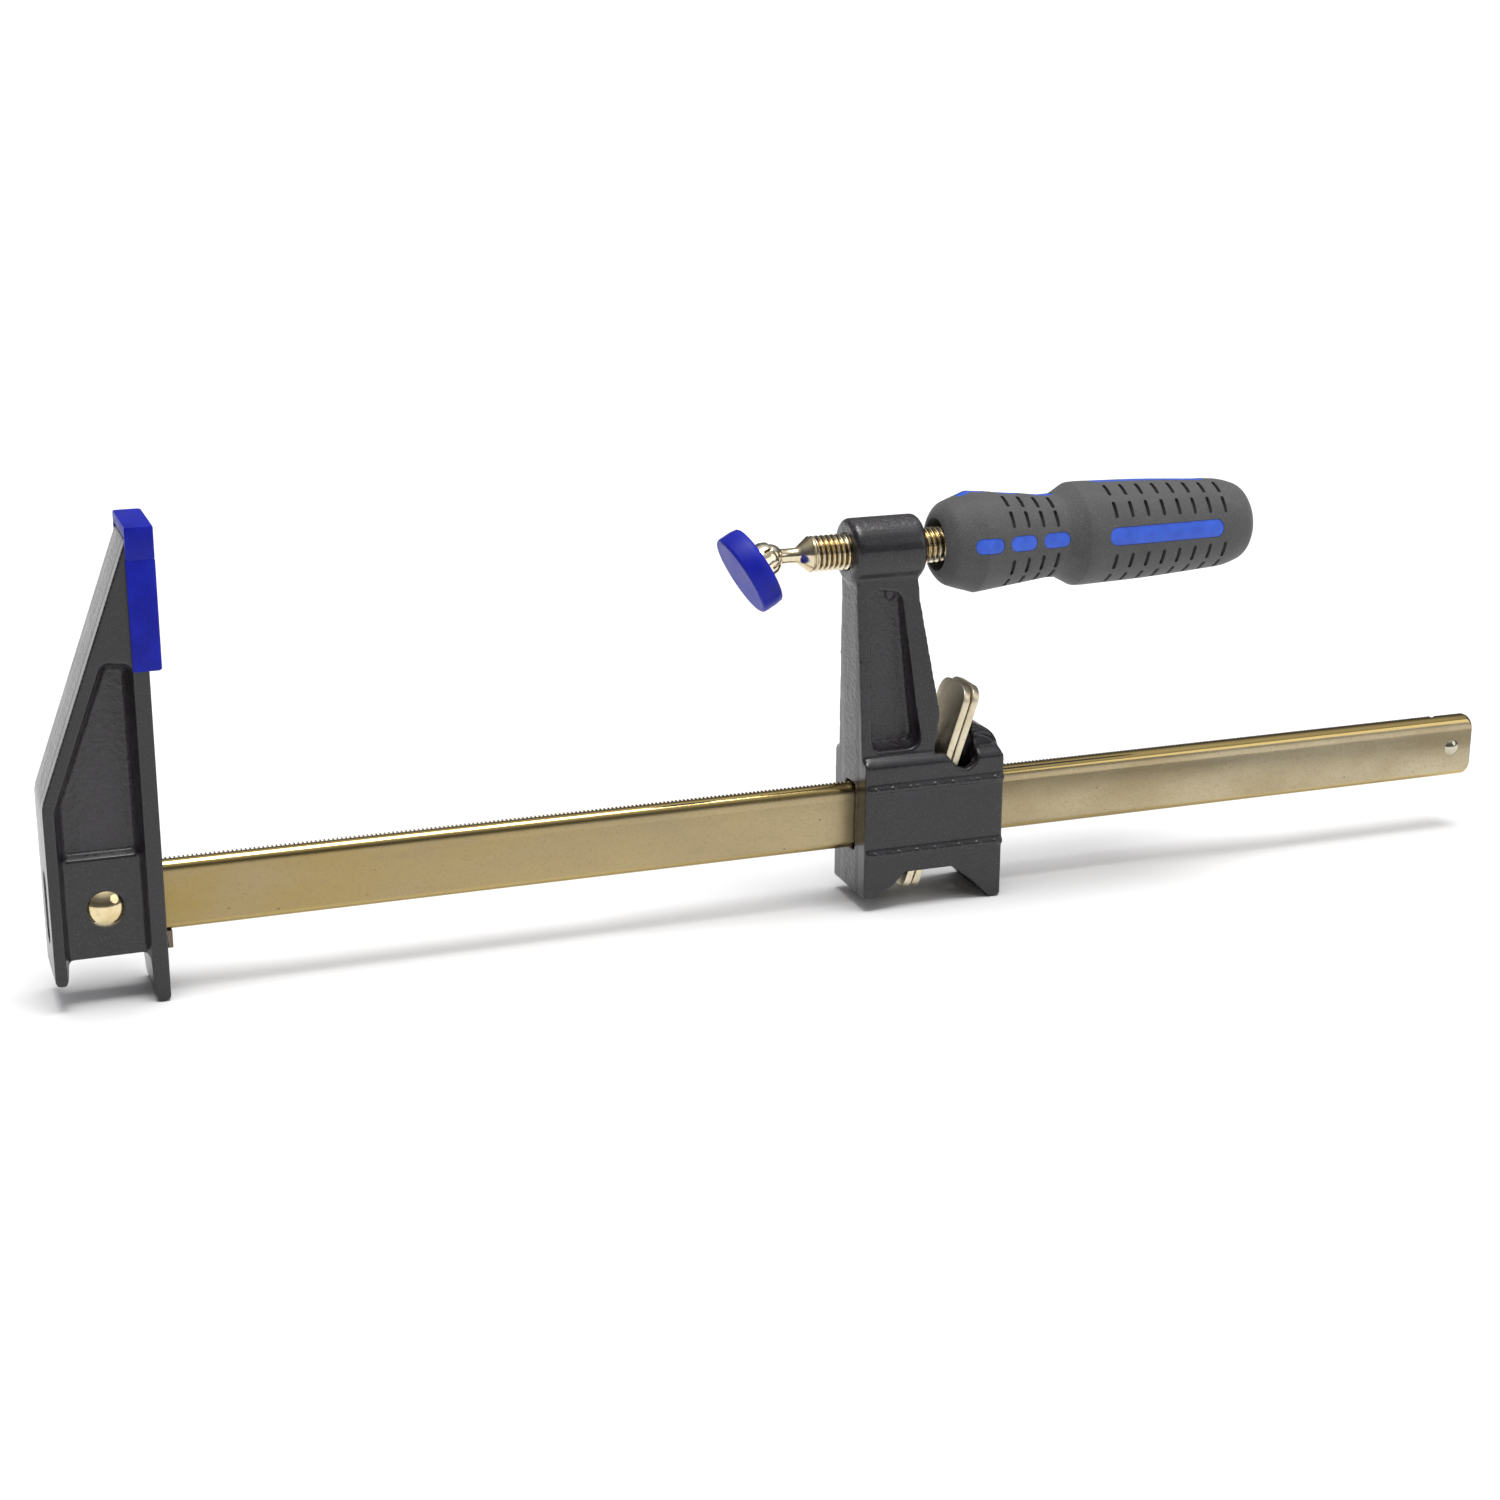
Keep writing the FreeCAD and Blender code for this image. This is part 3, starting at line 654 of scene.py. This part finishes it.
def make_jaw_pad(material):
    low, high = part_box("jaw_pad")
    corner = 0.75 * MM
    seam = high.z - 8.4 * MM
    levels = [(low.z, 0.35), (low.z + 0.35 * MM, 0.0), (seam - 0.35 * MM, 0.0), (seam, 0.16),
              (seam + 0.3 * MM, 0.05), (high.z - 0.5 * MM, 0.05), (high.z - 0.15 * MM, 0.2),
              (high.z, 0.55)]
    rings = []
    for z, shrink in levels:
        shrink *= MM
        ring = []
        for side_x, side_y, start in ((1, 1, 0), (0, 1, 90), (0, -1, 180), (1, -1, 270)):
            near = high.x - corner - shrink if side_x else low.x + corner * 0.4 + shrink
            radius = corner if side_x else corner * 0.4
            wide = side_y * (high.y - radius - shrink)
            for i in range(6):
                angle = math.radians(start + 90 * i / 5)
                ring.append((near + radius * math.cos(angle), wide + radius * math.sin(angle), z))
        rings.append(ring)
    pad = skin("jaw_pad_vinyl", rings, material)
    jaw_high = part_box("fixed_jaw")[1]
    nose = slab(Vector((low.x - MM, -jaw_high.y, low.z - MM)), Vector(jaw_high))
    cut_away(pad, nose)
    return settle_again(pad)


def settle_again(piece, sharp=35):
    """Shading renewed after a cut."""
    piece.data.shade_smooth()
    piece.data.set_sharp_from_angle(angle=math.radians(sharp))
    return piece


pad_vinyl = blue_vinyl("jaw_pad_blue")
stand_for(make_jaw_pad(pad_vinyl), "jaw_pad", "frame")

# ---- clutch plates and spring ----------------------------------------------------------------
# Two slotted plates of punched, plated sheet steel lean on the bar inside the arm and bite on
# its edges. A small coil of drawn wire, in a hole in the arm, pushes them over.


def punched_sheet():
    material = finish("punched_sheet", metallic=1.0, roughness=0.3)
    clouds = spread(material, mottle(material, 6 * MM, detail=4.0), 0.3, 0.7)
    colour = tint(material, clouds, (0.60, 0.52, 0.36), (0.76, 0.69, 0.52))
    wear = spread(material, mottle(material, 0.9 * MM, (1, 1, 0.4), 3.0), 0.62, 0.72, 0.0, 0.5)
    colour = tint(material, wear, colour, (0.27, 0.20, 0.11))
    scratches = mottle(material, 0.2 * MM, (1, 1, 0.05), 3.0)
    dress(material, colour, spread(material, scratches, 0.3, 0.7, 0.30, 0.46))
    relief(material, (scratches, 0.008 * MM, 0.5), (mottle(material, 0.8 * MM), 0.02 * MM, 0.4))
    return material


sheet_steel = punched_sheet()
for place_name in ("front", "rear"):
    node = "clutch_plate_" + place_name
    plate = softened("plate_steel_" + place_name, node, sheet_steel, 0.32 * MM)
    stand_for(plate, node, "clutch")


def drawn_wire():
    material = finish("drawn_wire", metallic=1.0, roughness=0.3)
    colour = tint(material, mottle(material, 1.2 * MM), (0.40, 0.40, 0.41), (0.62, 0.61, 0.60))
    dress(material, colour)
    relief(material, (mottle(material, 0.12 * MM, detail=2.0), 0.01 * MM, 0.5))
    return material


def make_spring(material):
    low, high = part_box("clutch_spring")
    wire = 0.25 * MM
    coil = (high.z - low.z) / 2 - wire
    centre = (low.z + high.z) / 2
    turns = 5
    steps = 28 * turns
    start = low.x + wire
    run = high.x - low.x - 2 * wire
    rings = []
    for i in range(steps + 1):
        share = i / steps
        angle = 2 * math.pi * turns * share
        out = Vector((0, math.cos(angle), math.sin(angle)))
        middle = Vector((start + run * share, 0, centre)) + out * coil
        ring = []
        for k in range(8):
            around = 2 * math.pi * k / 8
            sideways = Vector((wire * math.sin(around), 0, 0))
            ring.append(middle + out * (wire * math.cos(around)) + sideways)
        rings.append(ring)
    return skin("spring_coil", rings, material, 60)


spring = make_spring(drawn_wire())
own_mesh(spring)
stand_for(spring, "clutch_spring", "arm")

# ---- screw -----------------------------------------------------------------------------------
# A rolled M10 thread in bright plated steel, with a cone and a thin neck down to the ball that
# carries the pad. The ball end is forged in one with it, and its tail is held in the handle.

screw_low, screw_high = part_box("screw")
end_low, end_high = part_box("screw_ball_end")
grip_low, grip_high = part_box("handle_grip")
thread_crest = screw_high.z
thread_root = thread_crest - 0.92 * MM
thread_pitch = 1.5 * MM
thread_steel = bright_steel("thread_steel", (0.80, 0.74, 0.58), (0.66, 0.53, 0.30), 0.20,
                            (thread_root + 0.15 * MM, thread_root + 0.60 * MM))
nose_steel = bright_steel("nose_steel", (0.74, 0.68, 0.52), (0.60, 0.48, 0.28), 0.12)


def thread_tree():
    """A grid rolled round X, with a radius that rises and falls once a pitch along a helix."""
    tree, given, result = node_tree("thread", [
        ("Start", "Float"), ("Length", "Float"), ("Pitch", "Float"), ("Crest", "Float"),
        ("Root", "Float"), ("Around", "Int"), ("Along", "Int"), ("Finish", "Material")])
    value = given.outputs
    grid = add(tree, "GeometryNodeMeshGrid")
    grid.inputs["Size X"].default_value = 1.0
    grid.inputs["Size Y"].default_value = 1.0
    tree.links.new(value["Along"], grid.inputs["Vertices X"])
    tree.links.new(value["Around"], grid.inputs["Vertices Y"])
    where = add(tree, "GeometryNodeInputPosition")
    split = add(tree, "ShaderNodeSeparateXYZ")
    tree.links.new(where.outputs[0], split.inputs[0])
    along = maths(tree, "ADD", split.outputs["X"], 0.5)
    turn = maths(tree, "ADD", split.outputs["Y"], 0.5)
    x = maths(tree, "MULTIPLY", along, value["Length"])
    wave = maths(tree, "FRACT", maths(tree, "SUBTRACT", maths(tree, "DIVIDE", x, value["Pitch"]), turn))
    flank = maths(tree, "ABSOLUTE", maths(tree, "SUBTRACT", maths(tree, "MULTIPLY", wave, 2.0), 1.0))
    flank = maths(tree, "SUBTRACT", maths(tree, "MULTIPLY", flank, 1.3), 0.15)
    flank = maths(tree, "MINIMUM", maths(tree, "MAXIMUM", flank, 0.0), 1.0)
    height = maths(tree, "MULTIPLY", flank, maths(tree, "SUBTRACT", value["Crest"], value["Root"]))
    # the groove fades in over the first pitch, and both ends close
    rise = maths(tree, "MINIMUM", maths(tree, "DIVIDE", x, value["Pitch"]), 1.0)
    radius = maths(tree, "SUBTRACT", value["Crest"], maths(tree, "MULTIPLY", height, rise))
    inside = maths(tree, "MULTIPLY", maths(tree, "GREATER_THAN", along, 0.0005),
                   maths(tree, "LESS_THAN", along, 0.9995))
    radius = maths(tree, "MULTIPLY", radius, inside)
    angle = maths(tree, "MULTIPLY", turn, 2 * math.pi)
    spot = add(tree, "ShaderNodeCombineXYZ")
    tree.links.new(maths(tree, "ADD", x, value["Start"]), spot.inputs["X"])
    tree.links.new(maths(tree, "MULTIPLY", radius, maths(tree, "COSINE", angle)), spot.inputs["Y"])
    tree.links.new(maths(tree, "MULTIPLY", radius, maths(tree, "SINE", angle)), spot.inputs["Z"])
    move = add(tree, "GeometryNodeSetPosition")
    tree.links.new(grid.outputs["Mesh"], move.inputs["Geometry"])
    tree.links.new(spot.outputs[0], move.inputs["Position"])
    return close_tree(tree, move.outputs["Geometry"], given, result)


thread_length = grip_low.x + 5.4 * MM - screw_low.x
thread_values = {
    "Start": screw_low.x, "Length": thread_length, "Pitch": thread_pitch, "Crest": thread_crest,
    "Root": thread_root, "Around": 65, "Along": int(thread_length / thread_pitch * 14),
    "Finish": thread_steel}
thread = grow("screw_thread", bpy.data.meshes.new("empty"), thread_tree(), thread_values, thread_steel)
settle_again(thread, 50)
stand_for(thread, "screw", "screw_and_handle")

ball_radius = 3.6 * MM
ball = Vector((end_low.x + ball_radius, 0, 0))
neck = 2.15 * MM


def make_ball_end(material):
    meets = math.degrees(math.asin(neck / ball_radius))
    profile = [(x, max(r, 0.0)) for x, r in arc((ball.x, 0.0), ball_radius, 179.9, meets, 22)]
    cone = end_high.x - 3.0 * MM
    profile += [(ball.x + 4.3 * MM, neck * 0.96), (cone - 0.9 * MM, neck * 0.96),
                (cone - 0.2 * MM, neck * 1.08),
                (cone + 0.25 * MM, neck * 1.3), (end_high.x - 0.4 * MM, thread_crest - 0.35 * MM),
                (end_high.x, thread_crest - 0.02 * MM)]
    return turned("ball_end", profile, material, 64)


stand_for(make_ball_end(nose_steel), "screw_ball_end", "screw_nose")

# ---- swivel pad ------------------------------------------------------------------------------
# A pressed steel seat whose petals are crimped over the ball, and a soft blue cap snapped over
# the seat's rim. Together they hang down a little on the ball.

droop = math.radians(-29)         # how far the pad hangs at rest
hang = Matrix.Translation(ball) @ Matrix.Rotation(droop, 4, "Y") @ Matrix.Translation(-ball)
cap_face = ball.x - 9.9 * MM
cap_back = cap_face + 6.6 * MM
cap_radius = 11.6 * MM
cap_lip = 1.0 * MM                # rim behind the seat
cap_mouth = 7.6 * MM
seat_radius = 9.0 * MM
seat_thickness = 2.0 * MM


def make_seat(material):
    floor = cap_back - cap_lip
    cup = ball_radius + 1.35 * MM
    mouth = ball.x + 1.2 * MM
    profile = [(floor - seat_thickness, 0.0001 * MM), (floor - seat_thickness, seat_radius - 0.3 * MM),
               (floor - seat_thickness + 0.3 * MM, seat_radius), (floor - 0.3 * MM, seat_radius),
               (floor, seat_radius - 0.3 * MM), (floor, cup + 1.5 * MM),
               (floor + 0.5 * MM, cup + 0.7 * MM),
               (floor + 1.4 * MM, cup + 0.25 * MM), (ball.x - 0.6 * MM, cup),
               (mouth - 0.35 * MM, ball_radius + 0.75 * MM), (mouth, ball_radius + 0.4 * MM)]
    gap = ball_radius + 0.07 * MM
    inner = [(x, max(r, 0.0001 * MM)) for x, r in arc((ball.x, 0.0), gap, 70.5, 179.9, 16)]
    seat = turned("seat_steel", profile + inner, material, 72, hang)
    for turn in (0, 60, 120):
        cutter = slab(Vector((ball.x - 1.6 * MM, -8 * MM, -0.45 * MM)),
                      Vector((mouth + MM, 8 * MM, 0.45 * MM)))
        cutter.data.transform(hang @ Matrix.Rotation(math.radians(turn + 15), 4, "X"))
        cut_away(seat, cutter)
    return settle_again(seat)


seat_steel = bright_steel("seat_steel", (0.84, 0.80, 0.68), (0.70, 0.60, 0.40), 0.12)
stand_for(make_seat(seat_steel), "pad_seat", "swivel_seat")


def make_cap(material):
    rim = 0.9 * MM
    profile = [(cap_face + 0.12 * MM, 0.0001 * MM), (cap_face + 0.06 * MM, cap_radius * 0.6),
               (cap_face, cap_radius - 1.5 * MM)]
    profile += arc((cap_face + rim, cap_radius - rim), rim, 180, 90, 6)
    profile += [(cap_back - 2.2 * MM, cap_radius), (cap_back - 0.5 * MM, cap_radius - 0.25 * MM)]
    profile += [(cap_back - 0.12 * MM, cap_radius - 0.6 * MM), (cap_back, cap_radius - 1.0 * MM),
                (cap_back, cap_mouth + 0.3 * MM), (cap_back - 0.3 * MM, cap_mouth),
                (cap_back - cap_lip, cap_mouth),
                (cap_back - cap_lip, seat_radius), (cap_back - cap_lip - seat_thickness, seat_radius),
                (cap_back - cap_lip - seat_thickness, 0.0001 * MM)]
    return turned("pad_cap_vinyl", profile, material, 96, hang)


cap_vinyl = blue_vinyl("pad_cap_blue")
stand_for(make_cap(cap_vinyl), "pad_cap", "swivel_cap")

# ---- handle ----------------------------------------------------------------------------------
# A hard blue core with a dark grey rubber grip moulded over it. The core shows through windows
# on four sides, and rows of short slits are moulded into the rubber between them.

handle_start = grip_low.x
handle_end = grip_high.x
handle_waist = handle_start + 33 * MM
recess_radius = 7.2 * MM
recess_depth = 5.5 * MM


def rounded_profile(corners, steps=5):
    """A profile with each inner corner (x, radius, share) eased over a share of its shorter side."""
    points = [corners[0][:2]]
    for before, here, after in zip(corners, corners[1:], corners[2:]):
        a, b, c = Vector(before[:2]), Vector(here[:2]), Vector(after[:2])
        reach = here[2] * min((a - b).length, (c - b).length)
        start = b + (a - b).normalized() * reach
        end = b + (c - b).normalized() * reach
        for i in range(steps + 1):
            t = i / steps
            points.append(tuple(start * (1 - t) ** 2 + b * (2 * t * (1 - t)) + end * t ** 2))
    points.append(corners[-1][:2])
    return points


def grip_outline(inset=0.0):
    """The grip from nose to tail: two swells, a waist, and a cone up to the second swell."""
    step = handle_waist + 9 * MM
    corners = [(handle_start, 7.9, 0), (handle_start + 0.35 * MM, 9.1, 0.5),
               (handle_start + 2.2 * MM, 11.5, 0.45),
               (handle_start + 10.2 * MM, 14.25, 0.12), (handle_start + 13.5 * MM, 13.9, 0.4),
               (handle_waist - 0.4 * MM, 11.75, 0.07), (handle_waist + 3.3 * MM, 11.8, 0.3),
               (step - 0.6 * MM, 14.6, 0.14), (step + 1.6 * MM, 14.7, 0.4), (step + 22 * MM, 14.2, 0.4),
               (handle_end - 8 * MM, 12.6, 0.45), (handle_end - 2.6 * MM, 10.8, 0.45),
               (handle_end - 0.35 * MM, 7.6, 0.45), (handle_end, 5.4, 0)]
    outline = rounded_profile([(x, r * MM - inset, share) for x, r, share in corners])
    fine = [outline[0]]
    for point in outline[1:]:
        last = fine[-1]
        parts = max(1, math.ceil((point[0] - last[0]) / (1.5 * MM)))
        for i in range(1, parts + 1):
            fine.append((last[0] + (point[0] - last[0]) * i / parts,
                         last[1] + (point[1] - last[1]) * i / parts))
    return [(fine[0][0], 0.0001 * MM)] + fine + [(fine[-1][0], 0.0001 * MM)]


def rubber():
    material = finish("grip_rubber", roughness=0.72, Specular_IOR_Level=0.35, Sheen_Weight=0.12,
                      Sheen_Roughness=0.6)
    patches = spread(material, mottle(material, 6 * MM, detail=4.0), 0.3, 0.7)
    colour = tint(material, patches, (0.056, 0.055, 0.055), (0.078, 0.077, 0.077))
    bloom = spread(material, mottle(material, 0.35 * MM, detail=2.0), 0.5, 0.75, 0.0, 0.55)
    colour = tint(material, bloom, colour, (0.160, 0.160, 0.160))
    dress(material, colour, spread(material, patches, 0, 1, 0.64, 0.78))
    relief(material, (mottle(material, 0.28 * MM, detail=2.0), 0.06 * MM, 0.6),
           (mottle(material, 5 * MM, detail=1.0), 0.10 * MM, 0.3))
    return material


def blue_core():
    material = finish("core_blue", roughness=0.46, Specular_IOR_Level=0.45)
    shades = spread(material, mottle(material, 4 * MM, detail=3.0), 0.3, 0.7)
    colour = tint(material, shades, (0.026, 0.090, 0.55), (0.040, 0.130, 0.72))
    dress(material, colour, spread(material, shades, 0, 1, 0.40, 0.52))
    relief(material, (mottle(material, 0.4 * MM, detail=2.0), 0.03 * MM, 0.4))
    return material


handle_turn = math.radians(-6)    # how the handle stands at rest
inlay_width = 4.4 * MM
inlay_gap = 2.2 * MM
first_inlay = handle_start + 6.5 * MM
short_inlay = (handle_waist + 3 * MM - first_inlay - 2 * inlay_gap) / 3
inlay_spans = [(first_inlay + i * (short_inlay + inlay_gap), short_inlay, inlay_width) for i in range(3)]
rear_inlay = handle_waist + 14 * MM
inlay_spans.append((rear_inlay, handle_end - 13 * MM - rear_inlay, 5.2 * MM))


def inlay_sticks(name, material, margin):
    """Upright sticks with rounded ends in plan, where the core shows, on all four sides."""
    outlines = []
    for start, length, width in inlay_spans:
        half = width / 2 - margin
        corner = half * 0.9
        ring = []
        for side_x, side_y, turn in ((1, 1, 0), (0, 1, 90), (0, -1, 180), (1, -1, 270)):
            x = start + length - margin - corner if side_x else start + margin + corner
            for i in range(7):
                angle = math.radians(turn + 90 * i / 6)
                ring.append((x + corner * math.cos(angle),
                             side_y * (half - corner) + corner * math.sin(angle)))
        outlines.append(ring)
    mesh = bpy.data.meshes.new(name)
    work = bmesh.new()
    for ring in outlines:
        for quarter in range(4):
            spin = Matrix.Rotation(math.radians(90 * quarter) + handle_turn, 3, "X")
            low = [work.verts.new(spin @ Vector((x, y, 9.0 * MM))) for x, y in ring]
            high = [work.verts.new(spin @ Vector((x, y, 17.0 * MM))) for x, y in ring]
            work.faces.new(list(reversed(low)))
            work.faces.new(high)
            for i in range(len(ring)):
                j = (i + 1) % len(ring)
                work.faces.new((low[i], low[j], high[j], high[i]))
    work.to_mesh(mesh)
    work.free()
    return settle(name, mesh, material)


def slit_tree():
    """A row of slits along the handle, repeated round it between the inlays."""
    tree, given, result = node_tree("slits", [
        ("Count", "Int"), ("Step", "Vector"), ("Rows", "Int"), ("Spread", "Float"),
        ("Finish", "Material")])
    line = add(tree, "GeometryNodeMeshLine")
    tree.links.new(given.outputs["Count"], line.inputs["Count"])
    tree.links.new(given.outputs["Step"], line.inputs["Offset"])
    along = add(tree, "GeometryNodeInstanceOnPoints")
    tree.links.new(line.outputs["Mesh"], along.inputs["Points"])
    tree.links.new(given.outputs["Geometry"], along.inputs["Instance"])
    hub = add(tree, "GeometryNodeMeshLine")
    hub.inputs["Offset"].default_value = (0, 0, 0)
    tree.links.new(given.outputs["Rows"], hub.inputs["Count"])
    index = add(tree, "GeometryNodeInputIndex").outputs[0]
    quarter = maths(tree, "FLOOR", maths(tree, "DIVIDE", index, 2.0))
    odd = maths(tree, "MODULO", index, 2.0)
    side = maths(tree, "SUBTRACT", maths(tree, "MULTIPLY", odd, 2.0), 1.0)
    turn = maths(tree, "MULTIPLY", side, given.outputs["Spread"])
    turn = maths(tree, "ADD", turn, maths(tree, "MULTIPLY", quarter, math.pi / 2))
    turn = maths(tree, "ADD", turn, math.pi / 4 + handle_turn)
    rotation = add(tree, "ShaderNodeCombineXYZ")
    tree.links.new(turn, rotation.inputs["X"])
    around = add(tree, "GeometryNodeInstanceOnPoints")
    tree.links.new(hub.outputs["Mesh"], around.inputs["Points"])
    tree.links.new(along.outputs["Instances"], around.inputs["Instance"])
    tree.links.new(rotation.outputs[0], around.inputs["Rotation"])
    return close_tree(tree, around.outputs["Instances"], given, result)


def slit_cutter(x, radius):
    """One slit: a flat stick with round ends that lies across the handle at its surface."""
    half, width, sink = 2.6 * MM, 0.56 * MM, 1.5 * MM
    ring = []
    for centre, turn in ((half - width, 0), (width - half, 180)):
        for i in range(7):
            angle = math.radians(turn - 90 + 180 * i / 6)
            ring.append((x + width * math.sin(angle), centre + width * math.cos(angle)))
    rings = [[(px, py, level) for px, py in ring] for level in (radius - sink, radius + 2 * MM)]
    seed = skin("slit", rings, grip_rubber)
    mesh = seed.data
    bpy.data.objects.remove(seed)
    return mesh


grip_rubber = rubber()
grip = turned("grip_rubber", grip_outline(), grip_rubber, 120)
slits = slit_tree()
slit_rows = [("front", handle_waist - 14.6 * MM, 13.35 * MM, 4, 4.75, -0.53),
             ("rear", handle_waist + 16.6 * MM, 14.35 * MM, 5, 5.05, -0.12),
             ("tail", handle_waist + 41.85 * MM, 13.65 * MM, 3, 5.05, -0.34)]
for label, x, radius, count, pitch, fall in slit_rows:
    slit_values = {"Count": count, "Step": (pitch * MM, 0.0, fall * MM), "Rows": 8,
                   "Spread": math.radians(14.5), "Finish": grip_rubber}
    cut_away(grip, grow("slits_" + label, slit_cutter(x, radius), slits, slit_values, grip_rubber))
cut_away(grip, inlay_sticks("windows", grip_rubber, 0.0))
recess = turned("recess", [(handle_start - MM, 0.0001 * MM),
                           (handle_start - MM, recess_radius + 0.6 * MM),
                           (handle_start + 0.5 * MM, recess_radius),
                           (handle_start + recess_depth, recess_radius - 0.2 * MM),
                           (handle_start + recess_depth, 0.0001 * MM)], grip_rubber)
cut_away(grip, recess)
settle_again(grip)
stand_for(grip, "handle_grip", "screw_and_handle")

core = turned("core_inlays", grip_outline(0.15 * MM), blue_core(), 120)
cut_away(core, inlay_sticks("core_sticks", core.data.materials[0], 0.10 * MM), "INTERSECT")
settle_again(core)
stand_for(core, "handle_core", "screw_and_handle")

# ---- studio ----------------------------------------------------------------------------------
# A wide pale floor, a soft light overhead, and a sky that is dark low down, so that the metal
# and the black castings have something dark to mirror above the floor.


def pale_floor():
    material = finish("pale_floor", roughness=0.9)
    soft = mottle(material, 0.6, detail=1.0)
    dress(material, tint(material, soft, (0.86, 0.86, 0.86), (0.89, 0.89, 0.89)))
    return material


def make_floor():
    mesh = bpy.data.meshes.new("floor")
    level = cad_low.z - 0.02 * MM
    reach = 40.0
    corners = [(x * reach, y * reach, level) for x, y in ((-1, -1), (1, -1), (1, 1), (-1, 1))]
    mesh.from_pydata(corners, [], [(0, 1, 2, 3)])
    mesh.materials.append(pale_floor())
    floor = bpy.data.objects.new("floor", mesh)
    bpy.context.scene.collection.objects.link(floor)


def make_sky():
    world = bpy.data.worlds.new("sky")
    world.use_nodes = True
    bpy.context.scene.world = world
    tree = world.node_tree
    direction = tree.nodes.new("ShaderNodeTexCoord")
    split = tree.nodes.new("ShaderNodeSeparateXYZ")
    shade = tree.nodes.new("ShaderNodeValToRGB")
    tree.links.new(direction.outputs["Generated"], split.inputs[0])
    tree.links.new(split.outputs["Z"], shade.inputs["Fac"])
    ramp = shade.color_ramp
    ramp.elements[0].position = 0.0
    ramp.elements[0].color = (0.16, 0.16, 0.17, 1)
    ramp.elements[1].position = 0.9
    ramp.elements[1].color = (0.85, 0.85, 0.87, 1)
    for height, grey in ((0.30, 0.10), (0.62, 0.22)):
        ramp.elements.new(height).color = (grey, grey, grey * 1.04, 1)
    tree.links.new(shade.outputs["Color"], tree.nodes["Background"].inputs["Color"])
    tree.nodes["Background"].inputs["Strength"].default_value = 1.0


def soft_sun(name, coming_from, width, strength):
    lamp = bpy.data.lights.new(name, "SUN")
    lamp.angle = math.radians(width)
    lamp.energy = strength
    light = bpy.data.objects.new(name, lamp)
    light.rotation_euler = Vector(coming_from).to_track_quat("Z", "Y").to_euler()
    bpy.context.scene.collection.objects.link(light)


make_floor()
make_sky()
soft_sun("overhead", (0.05, -0.06, 1.0), 34, 2.85)
soft_sun("front_right", (0.9, -0.8, 0.6), 36, 0.45)

camera_spot = Vector((-0.07874, -0.64400, 0.15881))
turn_right, turn_down, tip = math.radians(20.3), math.radians(17.23), math.radians(0.22)
ahead = Vector((math.sin(turn_right) * math.cos(turn_down), math.cos(turn_right) * math.cos(turn_down),
                -math.sin(turn_down)))
right = Vector((math.cos(turn_right), -math.sin(turn_right), 0))
up = right.cross(ahead)
across, upright = right * math.cos(tip) + up * math.sin(tip), up * math.cos(tip) - right * math.sin(tip)
lens = bpy.data.cameras.new("camera")
lens.lens = 62.33
lens.sensor_width = 36.0
lens.clip_end = 100.0
lens.clip_start = 0.01
camera = bpy.data.objects.new("camera", lens)
axes = Matrix((across, upright, -ahead)).transposed()
camera.matrix_world = Matrix.Translation(camera_spot) @ axes.to_4x4()
bpy.context.scene.collection.objects.link(camera)
bpy.context.scene.camera = camera
bpy.context.scene.view_settings.view_transform = "Standard"
